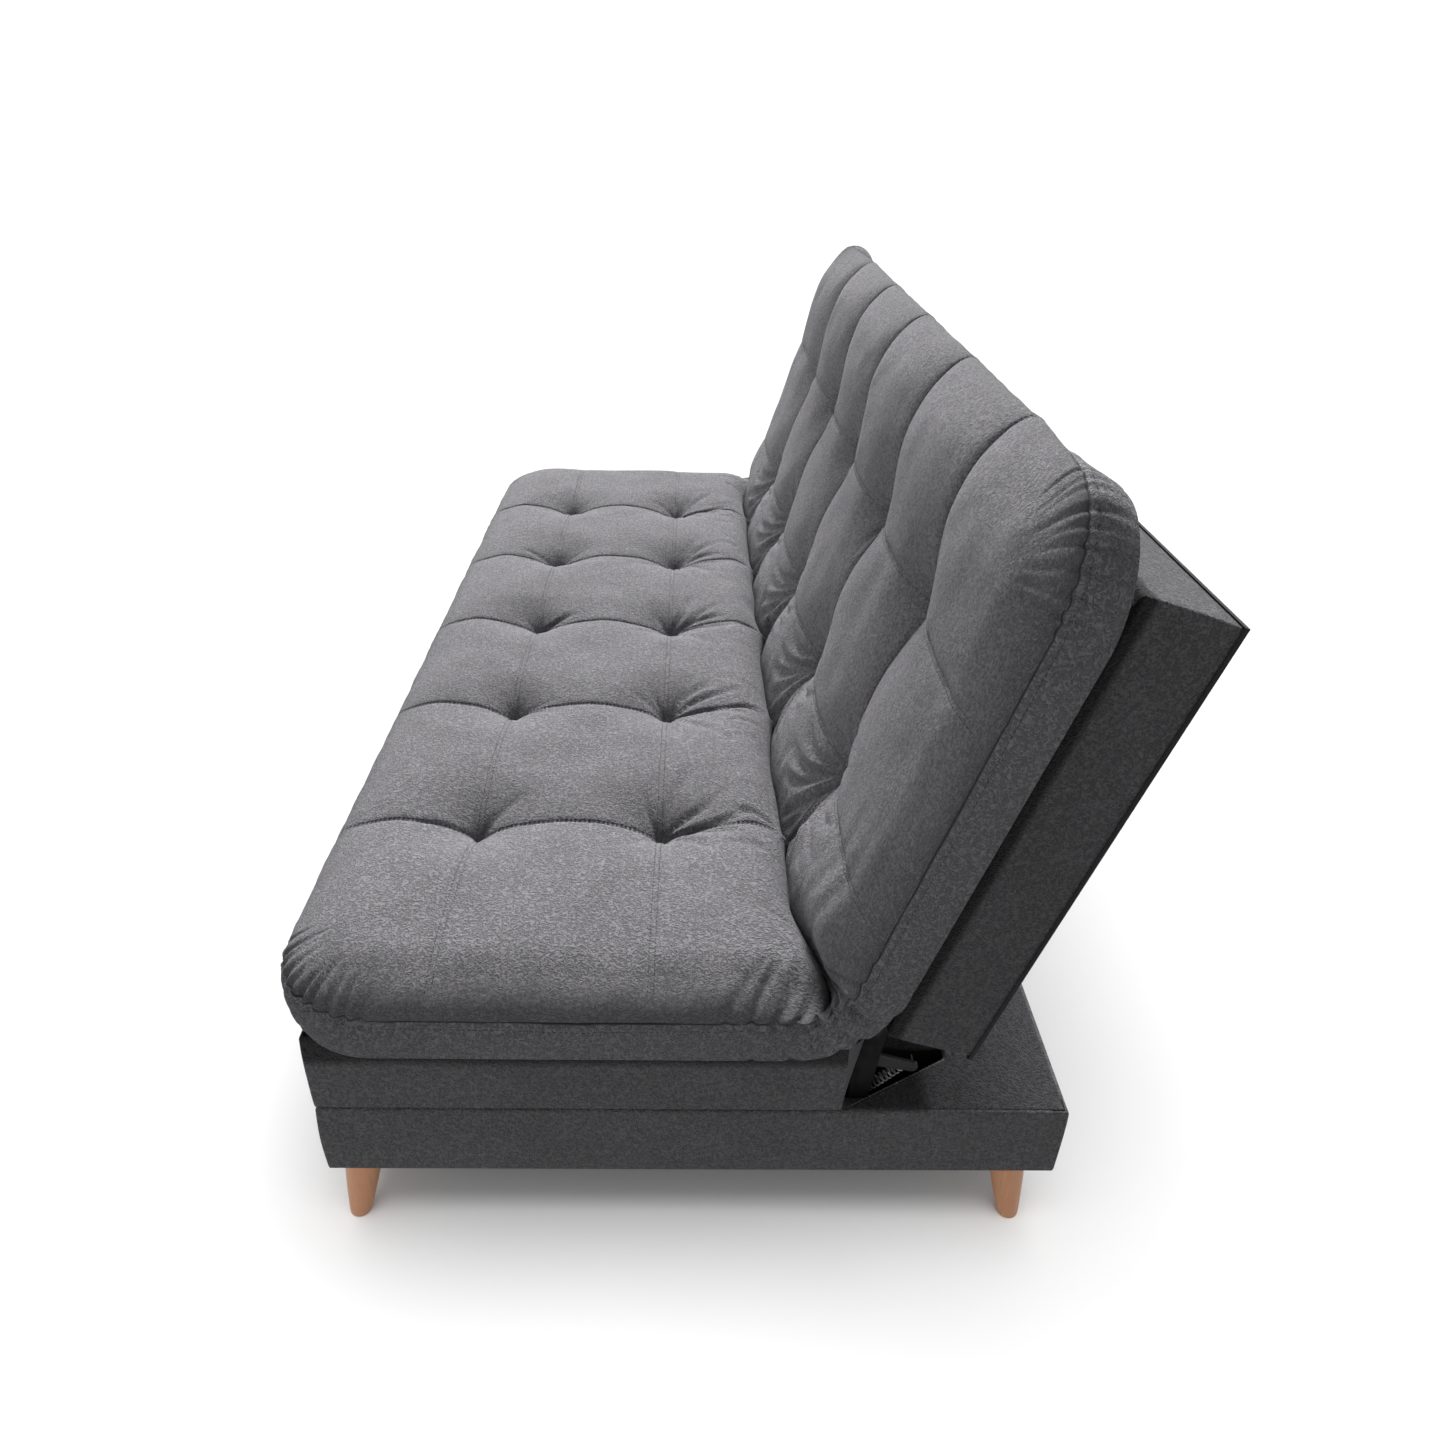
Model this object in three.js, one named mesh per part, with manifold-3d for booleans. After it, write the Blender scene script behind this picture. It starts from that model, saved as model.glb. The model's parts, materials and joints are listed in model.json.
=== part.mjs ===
// A click-clack futon sofa bed: a low upholstered base on four turned legs, with a seat box and a back
// box that turn about one pivot line on two steel mechanisms. Each box carries half of the mattress.
// Millimetres. +X runs along the sofa (its right end seen from the front), +Y to the back, +Z up.
// The sizes below are measured from the front face of the base (y = 0) and the floor (z = 0).
import * as THREE from "three";
import { mergeVertices } from "three/addons/utils/BufferGeometryUtils.js";
import Module from "manifold-3d";

// ---- driving dimensions ----
const LENGTH = 1900; // both boxes and the base, end to end
const HALF = LENGTH / 2;
const GAP = 0.3; // between pieces that touch
const SKIN = 1.5; // upholstery fabric with its wadding
const SHEET = 1; // dust covers and the deck fabric
const RAIL = 20; // thickness of the frame timber
const SIDE_RAIL = 25; // side rails of the seat and back frames
const SLAT = 14; // thickness of the slats
const SLAT_WIDTH = 95;
const SLATS = 4; // on each frame

const BASE_DEPTH = 894;
const BASE_BOTTOM = 100;
const BASE_TOP = 206;
const SEAT_DEPTH = 620;
const SEAT_BOTTOM = 208;
const SEAT_TOP = 322;
const BACK_HEIGHT = 570; // along the back
const BACK_DEPTH = 106; // through the back
const BACK_CORNER = { y: 659.7, z: 331.2 }; // lower front edge of the back box
const BACK_LEAN = THREE.MathUtils.degToRad(17.16); // from upright, as a sofa
const PIVOT = { y: 648, z: 324 };
const DEPTH_CENTRE = 446.6; // the y that becomes the middle of the whole object

const MATTRESS_HALF = 974; // half its length: it overhangs the boxes at both ends
const MATTRESS_FRONT = -36;
const MATTRESS_CORNER = 110; // radius in plan
const MATTRESS_SHOULDER = 28; // how far the top is drawn in
const MATTRESS_TUCK = 6; // how far its underside is drawn in
// The crease edge of each half, from the underside up, as [height above the box, place of the edge]. The
// seat half's places are y; the back half's are measured down from the lower edge of the back box.
const SEAT_CREASE = [[2, 596], [24, 586], [52, 557], [74, 520]];
const BACK_CREASE = [[0, -38], [24, -28], [66, -50], [96, -90]];
const MATTRESS_TOP = 620; // how far up the back its upper edge reaches

const LEG = { height: 99.7, top: 24.5, foot: 13.5, x: 918, front: 36, rear: 842 };
const SPLAY = 0.14; // how far a leg leans outward, in x and in y, for each millimetre down
const STUD = { radius: 4, bottom: 72, top: 128, clearance: 0.3 };
const BLOCK = { width: 62, height: 36 };

const PLATE = 4; // thickness of the mechanism's steel
const PLATE_GAP = 1;
const BRACKET_X = 923.7; // inner face of the base bracket
const SEAT_ARM_X = BRACKET_X - PLATE_GAP - PLATE;
const BACK_ARM_X = SEAT_ARM_X - PLATE_GAP - PLATE;
const BOLT = { radius: 5, clearance: 0.3, head: 9, headDepth: 5 };
const HUB = 18; // radius of the plates' round ends
const RATCHET = { root: 21, tip: 24, teeth: 26 };
const BRACKET_FOOT = { y: [560, 740], z: [112, 198] };
const BRACKET_NECK = { y: 640, z: 190, radius: 11 };
const ARM_END = 13; // radius of an arm's round ends
const SEAT_ARM = { bend: [560, 288], end: [430, 288] }; // (y, z)
const BACK_ARM = { bend: [32, 48], end: [32, 230] }; // (depth, height) in the back's own frame
const PAWL = { y: 650, z: 262, radius: 14, pin: 4, noseWidth: 9, clearance: 0.6 };
const PAWL_TAIL = { y: 704, z: 248, root: 10, radius: 7 };
const SPRING = { radius: 6, wire: 1.1, turns: 14, hook: 6, sides: 3, steps: 8, x: 905 };
const SPRING_ANCHOR = { y: 636, z: 178 };
const SPRING_PIN = { radius: 3, reach: 5 }; // it ends this far beyond the spring's middle
// Where the mechanism passes through the boxes: |x|, the lowest z in the seat, the depth in the back.
const POCKET = { from: 893, to: 935, seatFloor: 283, backDepth: 100 };
const SIDE_RAIL_NOTCH = { depth: 52, height: 14 }; // clears the bracket when the back lies flat
const ROUND = 24; // segments in a full circle
const ARC_STEPS = ROUND / 2; // an arc in a shape is drawn with twice this

// ---- materials ----
const material = (color, roughness, metalness = 0) =>
  new THREE.MeshStandardMaterial({ color, roughness, metalness });
const FINISH = {
  velvet: () => material(0x6d6c70, 0.9),
  boxVelvet: () => material(0x46464a, 0.92),
  pine: () => material(0xc9a878, 0.75),
  legWood: () => material(0xd28a5a, 0.5),
  dustCover: () => material(0x161618, 0.95),
  steel: () => material(0xa9abad, 0.4, 0.9),
  zinc: () => material(0xc9cbd0, 0.35, 0.95),
};

// ---- building tools ----
const wasm = await Module();
wasm.setup();

const AXES = {
  x: { u: new THREE.Vector3(0, 1, 0), v: new THREE.Vector3(0, 0, 1), w: new THREE.Vector3(1, 0, 0) },
  y: { u: new THREE.Vector3(1, 0, 0), v: new THREE.Vector3(0, 0, 1), w: new THREE.Vector3(0, -1, 0) },
  z: { u: new THREE.Vector3(1, 0, 0), v: new THREE.Vector3(0, 1, 0), w: new THREE.Vector3(0, 0, 1) },
};

// The closed form of a geometry that booleans need: positions only, with shared vertices.
function bare(geometry) {
  const copy = geometry.clone();
  copy.deleteAttribute("normal");
  copy.deleteAttribute("uv");
  return mergeVertices(copy, 1e-3);
}

function toSolid(geometry) {
  const closed = bare(geometry);
  return new wasm.Manifold(
    new wasm.Mesh({
      numProp: 3,
      vertProperties: new Float32Array(closed.attributes.position.array),
      triVerts: new Uint32Array(closed.index.array),
    }),
  );
}

function toGeometry(solid) {
  const mesh = solid.getMesh();
  return new THREE.BufferGeometry()
    .setAttribute("position", new THREE.BufferAttribute(new Float32Array(mesh.vertProperties), 3))
    .setIndex(new THREE.BufferAttribute(new Uint32Array(mesh.triVerts), 1));
}

const join = (...pieces) => toGeometry(pieces.map(toSolid).reduce((a, b) => a.add(b)));

function cut(piece, ...tools) {
  return toGeometry(tools.map(toSolid).reduce((a, b) => a.subtract(b), toSolid(piece)));
}

function shapeOf(points) {
  return new THREE.Shape(points.map(([u, v]) => new THREE.Vector2(u, v)));
}

function circle(u, v, radius) {
  const path = new THREE.Path();
  path.absarc(u, v, radius, 0, 2 * Math.PI, false);
  return path;
}

// Extrudes an outline along one axis. Outlines are (y, z) for x, (x, z) for y and (x, y) for z.
function prism(shape, axis, from, to) {
  const solid = new THREE.ExtrudeGeometry(shape, {
    depth: to - from,
    bevelEnabled: false,
    curveSegments: ARC_STEPS,
  });
  const { u, v, w } = AXES[axis];
  solid.applyMatrix4(new THREE.Matrix4().makeBasis(u, v, w));
  const start = axis === "y" ? w.clone().multiplyScalar(-to) : w.clone().multiplyScalar(from);
  return solid.translate(start.x, start.y, start.z);
}

function slab([x0, x1], [y0, y1], [z0, z1]) {
  const solid = new THREE.BoxGeometry(x1 - x0, y1 - y0, z1 - z0);
  return solid.translate((x0 + x1) / 2, (y0 + y1) / 2, (z0 + z1) / 2);
}

function rod([y, z], radius, x0, x1) {
  const shape = new THREE.Shape();
  shape.absarc(y, z, radius, 0, 2 * Math.PI, false);
  return prism(shape, "x", Math.min(x0, x1), Math.max(x0, x1));
}

// The outline of a flat bar with round ends, wider at one end if its radii differ.
function strap([ay, az], ra, [by, bz], rb) {
  const along = Math.atan2(bz - az, by - ay);
  const lean = Math.acos((ra - rb) / Math.hypot(by - ay, bz - az));
  const shape = new THREE.Shape();
  shape.absarc(by, bz, rb, along - lean, along + lean, false);
  shape.absarc(ay, az, ra, along + lean, along - lean + 2 * Math.PI, false);
  shape.closePath();
  return shape;
}

const strapPlate = (a, ra, b, rb, x) => prism(strap(a, ra, b, rb), "x", x, x + PLATE);

// The bore for the pivot bolt through a plate whose inner face is at x.
function boltBore(centre, x) {
  return rod(centre, BOLT.radius + BOLT.clearance, x - PLATE, x + 2 * PLATE);
}

// A rectangular ring of fabric round a box whose half length is x, as an outline across `axis`.
function ring(x, [v0, v1], axis, from, to) {
  const outer = shapeOf([[-x, v0], [x, v0], [x, v1], [-x, v1]]);
  const inside = x - SKIN;
  const [w0, w1] = [v0 + SKIN, v1 - SKIN];
  outer.holes.push(shapeOf([[-inside, w0], [-inside, w1], [inside, w1], [inside, w0]]));
  return prism(outer, axis, from, to);
}

// A solid lofted through loops of [x, y, z] points, each with the same number of points.
function loft(loops) {
  const count = loops[0].length;
  const index = [];
  for (let i = 1; i < count - 1; i++) {
    index.push(0, i + 1, i);
    const top = (loops.length - 1) * count;
    index.push(top, top + i, top + i + 1);
  }
  for (let ringStart = 0; ringStart < (loops.length - 1) * count; ringStart += count) {
    for (let i = 0; i < count; i++) {
      const a = ringStart + i;
      const b = ringStart + ((i + 1) % count);
      index.push(a, b, b + count, a, b + count, a + count);
    }
  }
  return new THREE.BufferGeometry()
    .setAttribute("position", new THREE.Float32BufferAttribute(loops.flat(2), 3))
    .setIndex(index);
}

function named(name, geometry, finish) {
  const mesh = new THREE.Mesh(geometry, finish());
  mesh.name = name;
  return mesh;
}

// The same piece at both ends: made at the right end (+x), then mirrored for the left.
function bothEnds(group, name, make, finish) {
  for (const [side, sign] of [["right", 1], ["left", -1]]) {
    const mesh = named(`${name}_${side}`, make(), finish);
    mesh.scale.x = sign;
    group.add(mesh);
  }
}

// ---- base ----
const INSIDE = HALF - SKIN - GAP; // outer face of the timber at the ends
const BASE_FLOOR = BASE_BOTTOM + SHEET + GAP;
const RAIL_TOP = BASE_TOP - SHEET - GAP;
// The deck fabric closes the top of the base behind the seat box. Each front corner is cut away for the
// mechanism, from `ear` at the end face, slanting back to `slant`, and forward along the inner rail.
const DECK = { front: 640, ear: 622, slant: { x: 867, y: 759 }, inner: 846 };

function baseRails(group) {
  const heights = [BASE_FLOOR, RAIL_TOP];
  const front = SKIN + GAP;
  const rear = BASE_DEPTH - SKIN - GAP;
  const across = [-INSIDE + RAIL + GAP, INSIDE - RAIL - GAP];
  const lengthwise = {
    base_front_rail: [front, front + RAIL],
    base_deck_rail: [DECK.slant.y, DECK.slant.y + RAIL],
    base_rear_rail: [rear - RAIL, rear],
  };
  for (const [name, depth] of Object.entries(lengthwise)) {
    group.add(named(name, slab(across, depth, heights), FINISH.pine));
  }
  const side = () => slab([INSIDE - RAIL, INSIDE], [front, rear], heights);
  bothEnds(group, "base_side_rail", side, FINISH.pine);
  const start = front + RAIL + GAP;
  const inner = () => slab([DECK.inner - RAIL, DECK.inner], [start, DECK.slant.y - GAP], heights);
  bothEnds(group, "base_inner_rail", inner, FINISH.pine);
  const between = DECK.inner - RAIL - GAP;
  const cross = slab([-between, between], [DECK.front, DECK.front + RAIL], heights);
  group.add(named("base_cross_rail", cross, FINISH.pine));
  const middle = slab([-RAIL / 2, RAIL / 2], [start, DECK.front - GAP], heights);
  group.add(named("base_centre_rail", middle, FINISH.pine));
}

function baseFabric(group) {
  const cover = ring(HALF, [0, BASE_DEPTH], "z", BASE_BOTTOM, BASE_TOP);
  group.add(named("base_cover", cover, FINISH.boxVelvet));
  const edge = HALF - SKIN - GAP;
  const rear = BASE_DEPTH - SKIN - GAP;
  const rightCut = [
    [DECK.inner, DECK.front],
    [DECK.inner, DECK.slant.y],
    [DECK.slant.x, DECK.slant.y],
    [edge, DECK.ear],
  ];
  const leftCut = rightCut.map(([x, y]) => [-x, y]).reverse();
  const deck = shapeOf([...leftCut, ...rightCut, [edge, rear], [-edge, rear]]);
  group.add(named("rear_deck_fabric", prism(deck, "z", BASE_TOP - SHEET, BASE_TOP), FINISH.boxVelvet));
  const sheet = shapeOf([[-edge, SKIN + GAP], [edge, SKIN + GAP], [edge, rear], [-edge, rear]]);
  const hole = STUD.radius + STUD.clearance;
  for (const x of [-LEG.x, LEG.x]) {
    for (const y of [LEG.front, LEG.rear]) {
      sheet.holes.push(circle(x, y, hole));
    }
  }
  const dust = prism(sheet, "z", BASE_BOTTOM, BASE_BOTTOM + SHEET);
  group.add(named("base_dust_cover", dust, FINISH.dustCover));
}

const uprightRod = (radius, from, to) =>
  new THREE.CylinderGeometry(radius, radius, to - from, ROUND)
    .rotateX(Math.PI / 2)
    .translate(0, 0, (from + to) / 2);

// A turned leg that leans outward, with an upright blind hole in its top for the stud.
function splayedLeg(inward) {
  const turned = new THREE.CylinderGeometry(LEG.top, LEG.foot, LEG.height, ROUND)
    .rotateX(Math.PI / 2)
    .translate(0, 0, -LEG.height / 2);
  const lean = new THREE.Matrix4().set(
    1, 0, -SPLAY, 0,
    0, 1, inward * SPLAY, 0,
    0, 0, 1, LEG.height,
    0, 0, 0, 1,
  );
  const hole = uprightRod(STUD.radius + STUD.clearance, STUD.bottom - GAP, LEG.height + GAP);
  return cut(turned.applyMatrix4(lean), hole);
}

function cornerBlock(y, inward) {
  const outer = INSIDE - RAIL - GAP;
  const wall = inward > 0 ? SKIN + GAP + RAIL + GAP : BASE_DEPTH - SKIN - GAP - RAIL - GAP;
  const far = wall + inward * BLOCK.width;
  const inner = outer - BLOCK.width;
  const shape = shapeOf([[inner, wall], [outer, wall], [outer, far], [inner, far]]);
  shape.holes.push(circle(LEG.x, y, STUD.radius + STUD.clearance));
  return prism(shape, "z", BASE_FLOOR, BASE_FLOOR + BLOCK.height);
}

function legs(group) {
  for (const [end, y, inward] of [["front", LEG.front, 1], ["rear", LEG.rear, -1]]) {
    const stud = () => uprightRod(STUD.radius, STUD.bottom, STUD.top).translate(LEG.x, y, 0);
    bothEnds(group, `leg_${end}`, () => splayedLeg(inward).translate(LEG.x, y, 0), FINISH.legWood);
    bothEnds(group, `leg_stud_${end}`, stud, FINISH.zinc);
    bothEnds(group, `corner_block_${end}`, () => cornerBlock(y, inward), FINISH.pine);
  }
}

// ---- mechanism ----
// The bracket stands on the base's side rail and carries the pivot, the pawl's pin and the spring's pin.
function bracket() {
  const middle = BRACKET_X + PLATE / 2;
  const neckEnd = [BRACKET_NECK.y, BRACKET_NECK.z];
  const anchor = [SPRING_ANCHOR.y, SPRING_ANCHOR.z];
  const foot = slab([BRACKET_X, BRACKET_X + PLATE], BRACKET_FOOT.y, BRACKET_FOOT.z);
  const neck = strapPlate(neckEnd, BRACKET_NECK.radius, [PIVOT.y, PIVOT.z], HUB, BRACKET_X);
  const pawlPin = rod([PAWL.y, PAWL.z], PAWL.pin, BACK_ARM_X - PLATE_GAP, middle);
  const springPin = rod(anchor, SPRING_PIN.radius, SPRING.x - SPRING_PIN.reach, middle);
  return cut(join(foot, neck, pawlPin, springPin), boltBore([PIVOT.y, PIVOT.z], BRACKET_X));
}

// The pivot bolt with its head inside and its nut outside the three plates.
function pivotBolt() {
  const centre = [PIVOT.y, PIVOT.z];
  const inner = BACK_ARM_X - GAP;
  const outer = BRACKET_X + PLATE + GAP;
  const shank = rod(centre, BOLT.radius, inner - BOLT.headDepth, outer + BOLT.headDepth);
  const head = rod(centre, BOLT.head, inner - BOLT.headDepth, inner);
  const nut = rod(centre, BOLT.head, outer, outer + BOLT.headDepth);
  return join(shank, head, nut);
}

// The pawl hangs on its pin below the ratchet, with a nose up to the teeth and a tail for the spring.
function pawl() {
  const centre = [PAWL.y, PAWL.z];
  const end = [PAWL_TAIL.y, PAWL_TAIL.z];
  const tip = PIVOT.z - RATCHET.tip - PAWL.clearance;
  const half = PAWL.noseWidth / 2;
  const boss = rod(centre, PAWL.radius, BACK_ARM_X, BACK_ARM_X + PLATE);
  const nose = slab([BACK_ARM_X, BACK_ARM_X + PLATE], [PIVOT.y - half, PIVOT.y + half], [PAWL.z, tip]);
  const tail = strapPlate(centre, PAWL_TAIL.root, end, PAWL_TAIL.radius, BACK_ARM_X);
  const pin = rod(end, SPRING_PIN.radius, SPRING.x - SPRING_PIN.reach, BACK_ARM_X + PLATE / 2);
  const hole = rod(centre, PAWL.pin + BOLT.clearance, BACK_ARM_X - PLATE, BACK_ARM_X + 2 * PLATE);
  return cut(join(boss, nose, tail, pin), hole);
}

// A helical extension spring between the bracket's pin and the pawl's tail, with its ends drawn in.
class SpringPath extends THREE.Curve {
  getPoint(t, target = new THREE.Vector3()) {
    const a = new THREE.Vector3(SPRING.x, SPRING_ANCHOR.y, SPRING_ANCHOR.z);
    const b = new THREE.Vector3(SPRING.x, PAWL_TAIL.y, PAWL_TAIL.z);
    const along = b.clone().sub(a).normalize();
    const side = new THREE.Vector3(1, 0, 0);
    const up = along.clone().cross(side);
    const length = a.distanceTo(b) - 2 * SPRING.hook;
    const ends = Math.min(1, SPRING.turns * Math.min(t, 1 - t));
    const radius = SPRING.radius * (0.25 + 0.75 * ends);
    const angle = 2 * Math.PI * SPRING.turns * t;
    return target
      .copy(a)
      .addScaledVector(along, SPRING.hook + length * t)
      .addScaledVector(side, radius * Math.cos(angle))
      .addScaledVector(up, radius * Math.sin(angle));
  }
}

function spring() {
  const section = new THREE.Shape();
  section.absarc(0, 0, SPRING.wire, 0, 2 * Math.PI, false);
  return new THREE.ExtrudeGeometry(section, {
    steps: SPRING.turns * SPRING.steps,
    curveSegments: SPRING.sides,
    bevelEnabled: false,
    extrudePath: new SpringPath(),
  });
}

function mechanism(group) {
  bothEnds(group, "hinge_bracket", bracket, FINISH.steel);
  bothEnds(group, "pivot_bolt", pivotBolt, FINISH.zinc);
  bothEnds(group, "pawl", pawl, FINISH.steel);
  bothEnds(group, "pawl_spring", spring, FINISH.zinc);
}

// ---- the two upholstered boxes ----
const INNER_EDGE = SKIN + GAP + RAIL + GAP; // inner face of a front, rear, top or bottom rail
const ARM_CLEARANCE = 64; // the slats stop this far short of a box's hinged edge

// Evenly spaced boards between two limits; `board` makes one from its pair of edges.
function slats(group, name, first, last, board) {
  const pitch = (last - first - SLAT_WIDTH) / (SLATS - 1);
  for (let i = 0; i < SLATS; i++) {
    const edge = first + i * pitch;
    group.add(named(`${name}_slat_${i + 1}`, board([edge, edge + SLAT_WIDTH]), FINISH.pine));
  }
}

// Seat frame: front and rear rails stand between the side rails; slats lie on the side rails.
function seatFrame(group) {
  const floor = SEAT_BOTTOM + SHEET + GAP;
  const top = SEAT_TOP - SKIN;
  const shelf = top - SLAT - GAP;
  const front = SKIN + GAP;
  const rear = SEAT_DEPTH - SKIN - GAP;
  const side = INSIDE - SIDE_RAIL;
  bothEnds(group, "seat_side_rail", () => slab([side, INSIDE], [front, rear], [floor, shelf]), FINISH.pine);
  const frontRail = slab([-side + GAP, side - GAP], [front, front + RAIL], [floor, top]);
  group.add(named("seat_front_rail", frontRail, FINISH.pine));
  const rearOutline = shapeOf([
    [-side + GAP, floor],
    [side - GAP, floor],
    [side - GAP, POCKET.seatFloor],
    [POCKET.from, POCKET.seatFloor],
    [POCKET.from, top],
    [-POCKET.from, top],
    [-POCKET.from, POCKET.seatFloor],
    [-side + GAP, POCKET.seatFloor],
  ]);
  group.add(named("seat_rear_rail", prism(rearOutline, "y", rear - RAIL, rear), FINISH.pine));
  const middle = [front + RAIL + GAP, rear - RAIL - GAP];
  const centre = slab([-RAIL / 2, RAIL / 2], middle, [floor, shelf]);
  group.add(named("seat_centre_rail", centre, FINISH.pine));
  const board = (depth) => slab([-INSIDE, INSIDE], depth, [top - SLAT, top]);
  slats(group, "seat", INNER_EDGE, SEAT_DEPTH - ARM_CLEARANCE, board);
}

// Two slots, one at each end, that let the mechanism through a cover.
function pockets(depth, height) {
  return [slab([POCKET.from, POCKET.to], depth, height), slab([-POCKET.to, -POCKET.from], depth, height)];
}

function seatFabric(group) {
  const box = ring(HALF, [0, SEAT_DEPTH], "z", SEAT_BOTTOM, SEAT_TOP);
  const slots = pockets([SEAT_DEPTH - 2 * SKIN, SEAT_DEPTH + SKIN], [POCKET.seatFloor, SEAT_TOP + SKIN]);
  group.add(named("seat_cover", cut(box, ...slots), FINISH.boxVelvet));
  const edge = HALF - SKIN - GAP;
  const inner = [SKIN + GAP, SEAT_DEPTH - SKIN - GAP];
  const dust = slab([-edge, edge], inner, [SEAT_BOTTOM, SEAT_BOTTOM + SHEET]);
  group.add(named("seat_dust_cover", dust, FINISH.dustCover));
}

function seatArm() {
  const centre = [PIVOT.y, PIVOT.z];
  const near = strapPlate(centre, HUB, SEAT_ARM.bend, ARM_END, SEAT_ARM_X);
  const along = strapPlate(SEAT_ARM.bend, ARM_END, SEAT_ARM.end, ARM_END, SEAT_ARM_X);
  return cut(join(near, along), boltBore(centre, SEAT_ARM_X));
}

// One half of the mattress as a loop in plan at height z, drawn in by `inset`, with two round corners
// at its outer edge and a straight edge at the crease.
function mattressLoop(outer, crease, z, inset) {
  const x = MATTRESS_HALF - inset;
  const y = outer + inset;
  const r = MATTRESS_CORNER - inset;
  const points = [[-x, crease, z]];
  for (const [side, from] of [[-1, Math.PI], [1, 1.5 * Math.PI]]) {
    for (let i = 0; i <= ROUND / 4; i++) {
      const angle = from + (i / (ROUND / 4)) * (Math.PI / 2);
      points.push([side * (x - r) + r * Math.cos(angle), y + r + r * Math.sin(angle), z]);
    }
  }
  points.push([x, crease, z]);
  return points;
}

// A mattress half from its underside up: tucked in, two loops for its upright side, and the crown.
function mattressHalf(outer, creases, floor) {
  const insets = [MATTRESS_TUCK, 0, 0, MATTRESS_SHOULDER];
  return loft(creases.map(([height, crease], i) => mattressLoop(outer, crease, floor + height, insets[i])));
}

function seat(group) {
  seatFrame(group);
  seatFabric(group);
  bothEnds(group, "seat_arm", seatArm, FINISH.steel);
  const mattress = mattressHalf(MATTRESS_FRONT, SEAT_CREASE, SEAT_TOP);
  group.add(named("seat_mattress", mattress, FINISH.velvet));
}

// ---- back: its own group, with z up along the back and y through it to the rear ----
const PIVOT_IN_BACK = {
  y: (PIVOT.y - BACK_CORNER.y) * Math.cos(BACK_LEAN) - (PIVOT.z - BACK_CORNER.z) * Math.sin(BACK_LEAN),
  z: (PIVOT.y - BACK_CORNER.y) * Math.sin(BACK_LEAN) + (PIVOT.z - BACK_CORNER.z) * Math.cos(BACK_LEAN),
};

function backFrame(group) {
  const front = SKIN; // plane of the slats' front faces
  const rear = BACK_DEPTH - SHEET - GAP;
  const shelf = front + SLAT + GAP;
  const bottom = SKIN + GAP;
  const top = BACK_HEIGHT - SKIN - GAP;
  const side = INSIDE - SIDE_RAIL;
  // The lower front corner of each side rail is notched for the bracket.
  const step = bottom + SIDE_RAIL_NOTCH.height;
  const sideOutline = shapeOf([
    [SIDE_RAIL_NOTCH.depth, bottom],
    [rear, bottom],
    [rear, top],
    [shelf, top],
    [shelf, step],
    [SIDE_RAIL_NOTCH.depth, step],
  ]);
  bothEnds(group, "back_side_rail", () => prism(sideOutline, "x", side, INSIDE), FINISH.pine);
  const topRail = slab([-side + GAP, side - GAP], [front, rear], [top - RAIL, top]);
  group.add(named("back_top_rail", topRail, FINISH.pine));
  // The bottom rail ends short of the mechanisms, which pass it as the back reclines.
  const bottomRail = slab([-POCKET.from, POCKET.from], [front, rear], [bottom, bottom + RAIL]);
  group.add(named("back_bottom_rail", bottomRail, FINISH.pine));
  const centre = slab([-RAIL / 2, RAIL / 2], [shelf, rear], [bottom + RAIL + GAP, top - RAIL - GAP]);
  group.add(named("back_centre_rail", centre, FINISH.pine));
  const board = (height) => slab([-INSIDE, INSIDE], [front, front + SLAT], height);
  slats(group, "back", ARM_CLEARANCE, BACK_HEIGHT - INNER_EDGE, board);
}

function backFabric(group) {
  const box = ring(HALF, [0, BACK_HEIGHT], "y", 0, BACK_DEPTH);
  const slots = pockets([-SKIN, POCKET.backDepth], [-SKIN, 2 * SKIN]);
  group.add(named("back_cover", cut(box, ...slots), FINISH.boxVelvet));
  const edge = HALF - SKIN - GAP;
  const inside = [SKIN + GAP, BACK_HEIGHT - SKIN - GAP];
  const dust = slab([-edge, edge], [BACK_DEPTH - SHEET, BACK_DEPTH], inside);
  group.add(named("back_dust_cover", dust, FINISH.dustCover));
}

// The back arm's round end is the ratchet: a toothed disc round the pivot.
function ratchetDisc() {
  const { y, z } = PIVOT_IN_BACK;
  const points = [];
  for (let i = 0; i < RATCHET.teeth; i++) {
    const angle = (2 * Math.PI * i) / RATCHET.teeth;
    const next = angle + (0.8 * 2 * Math.PI) / RATCHET.teeth;
    points.push([y + RATCHET.root * Math.cos(angle), z + RATCHET.root * Math.sin(angle)]);
    points.push([y + RATCHET.tip * Math.cos(next), z + RATCHET.tip * Math.sin(next)]);
  }
  return prism(shapeOf(points), "x", BACK_ARM_X, BACK_ARM_X + PLATE);
}

function backArm() {
  const { y, z } = PIVOT_IN_BACK;
  const near = strapPlate([y, z], HUB, BACK_ARM.bend, ARM_END, BACK_ARM_X);
  const along = strapPlate(BACK_ARM.bend, ARM_END, BACK_ARM.end, ARM_END, BACK_ARM_X);
  return cut(join(ratchetDisc(), near, along), boltBore([y, z], BACK_ARM_X));
}

// The back half of the mattress: its top end rolls over the box, its lower end meets the seat half.
function backMattress() {
  const flat = mattressHalf(-MATTRESS_TOP, BACK_CREASE, 0);
  // Laid flat it runs along -y with its face up; standing it runs up z with its face to -y.
  return flat.rotateX(Math.PI / 2).rotateY(Math.PI).translate(0, -GAP, 0);
}

function back(group) {
  const box = new THREE.Group();
  box.position.set(0, BACK_CORNER.y, BACK_CORNER.z);
  box.rotation.x = -BACK_LEAN;
  backFrame(box);
  backFabric(box);
  bothEnds(box, "back_arm", backArm, FINISH.steel);
  box.add(named("back_mattress", backMattress(), FINISH.velvet));
  group.add(box);
}

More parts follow.
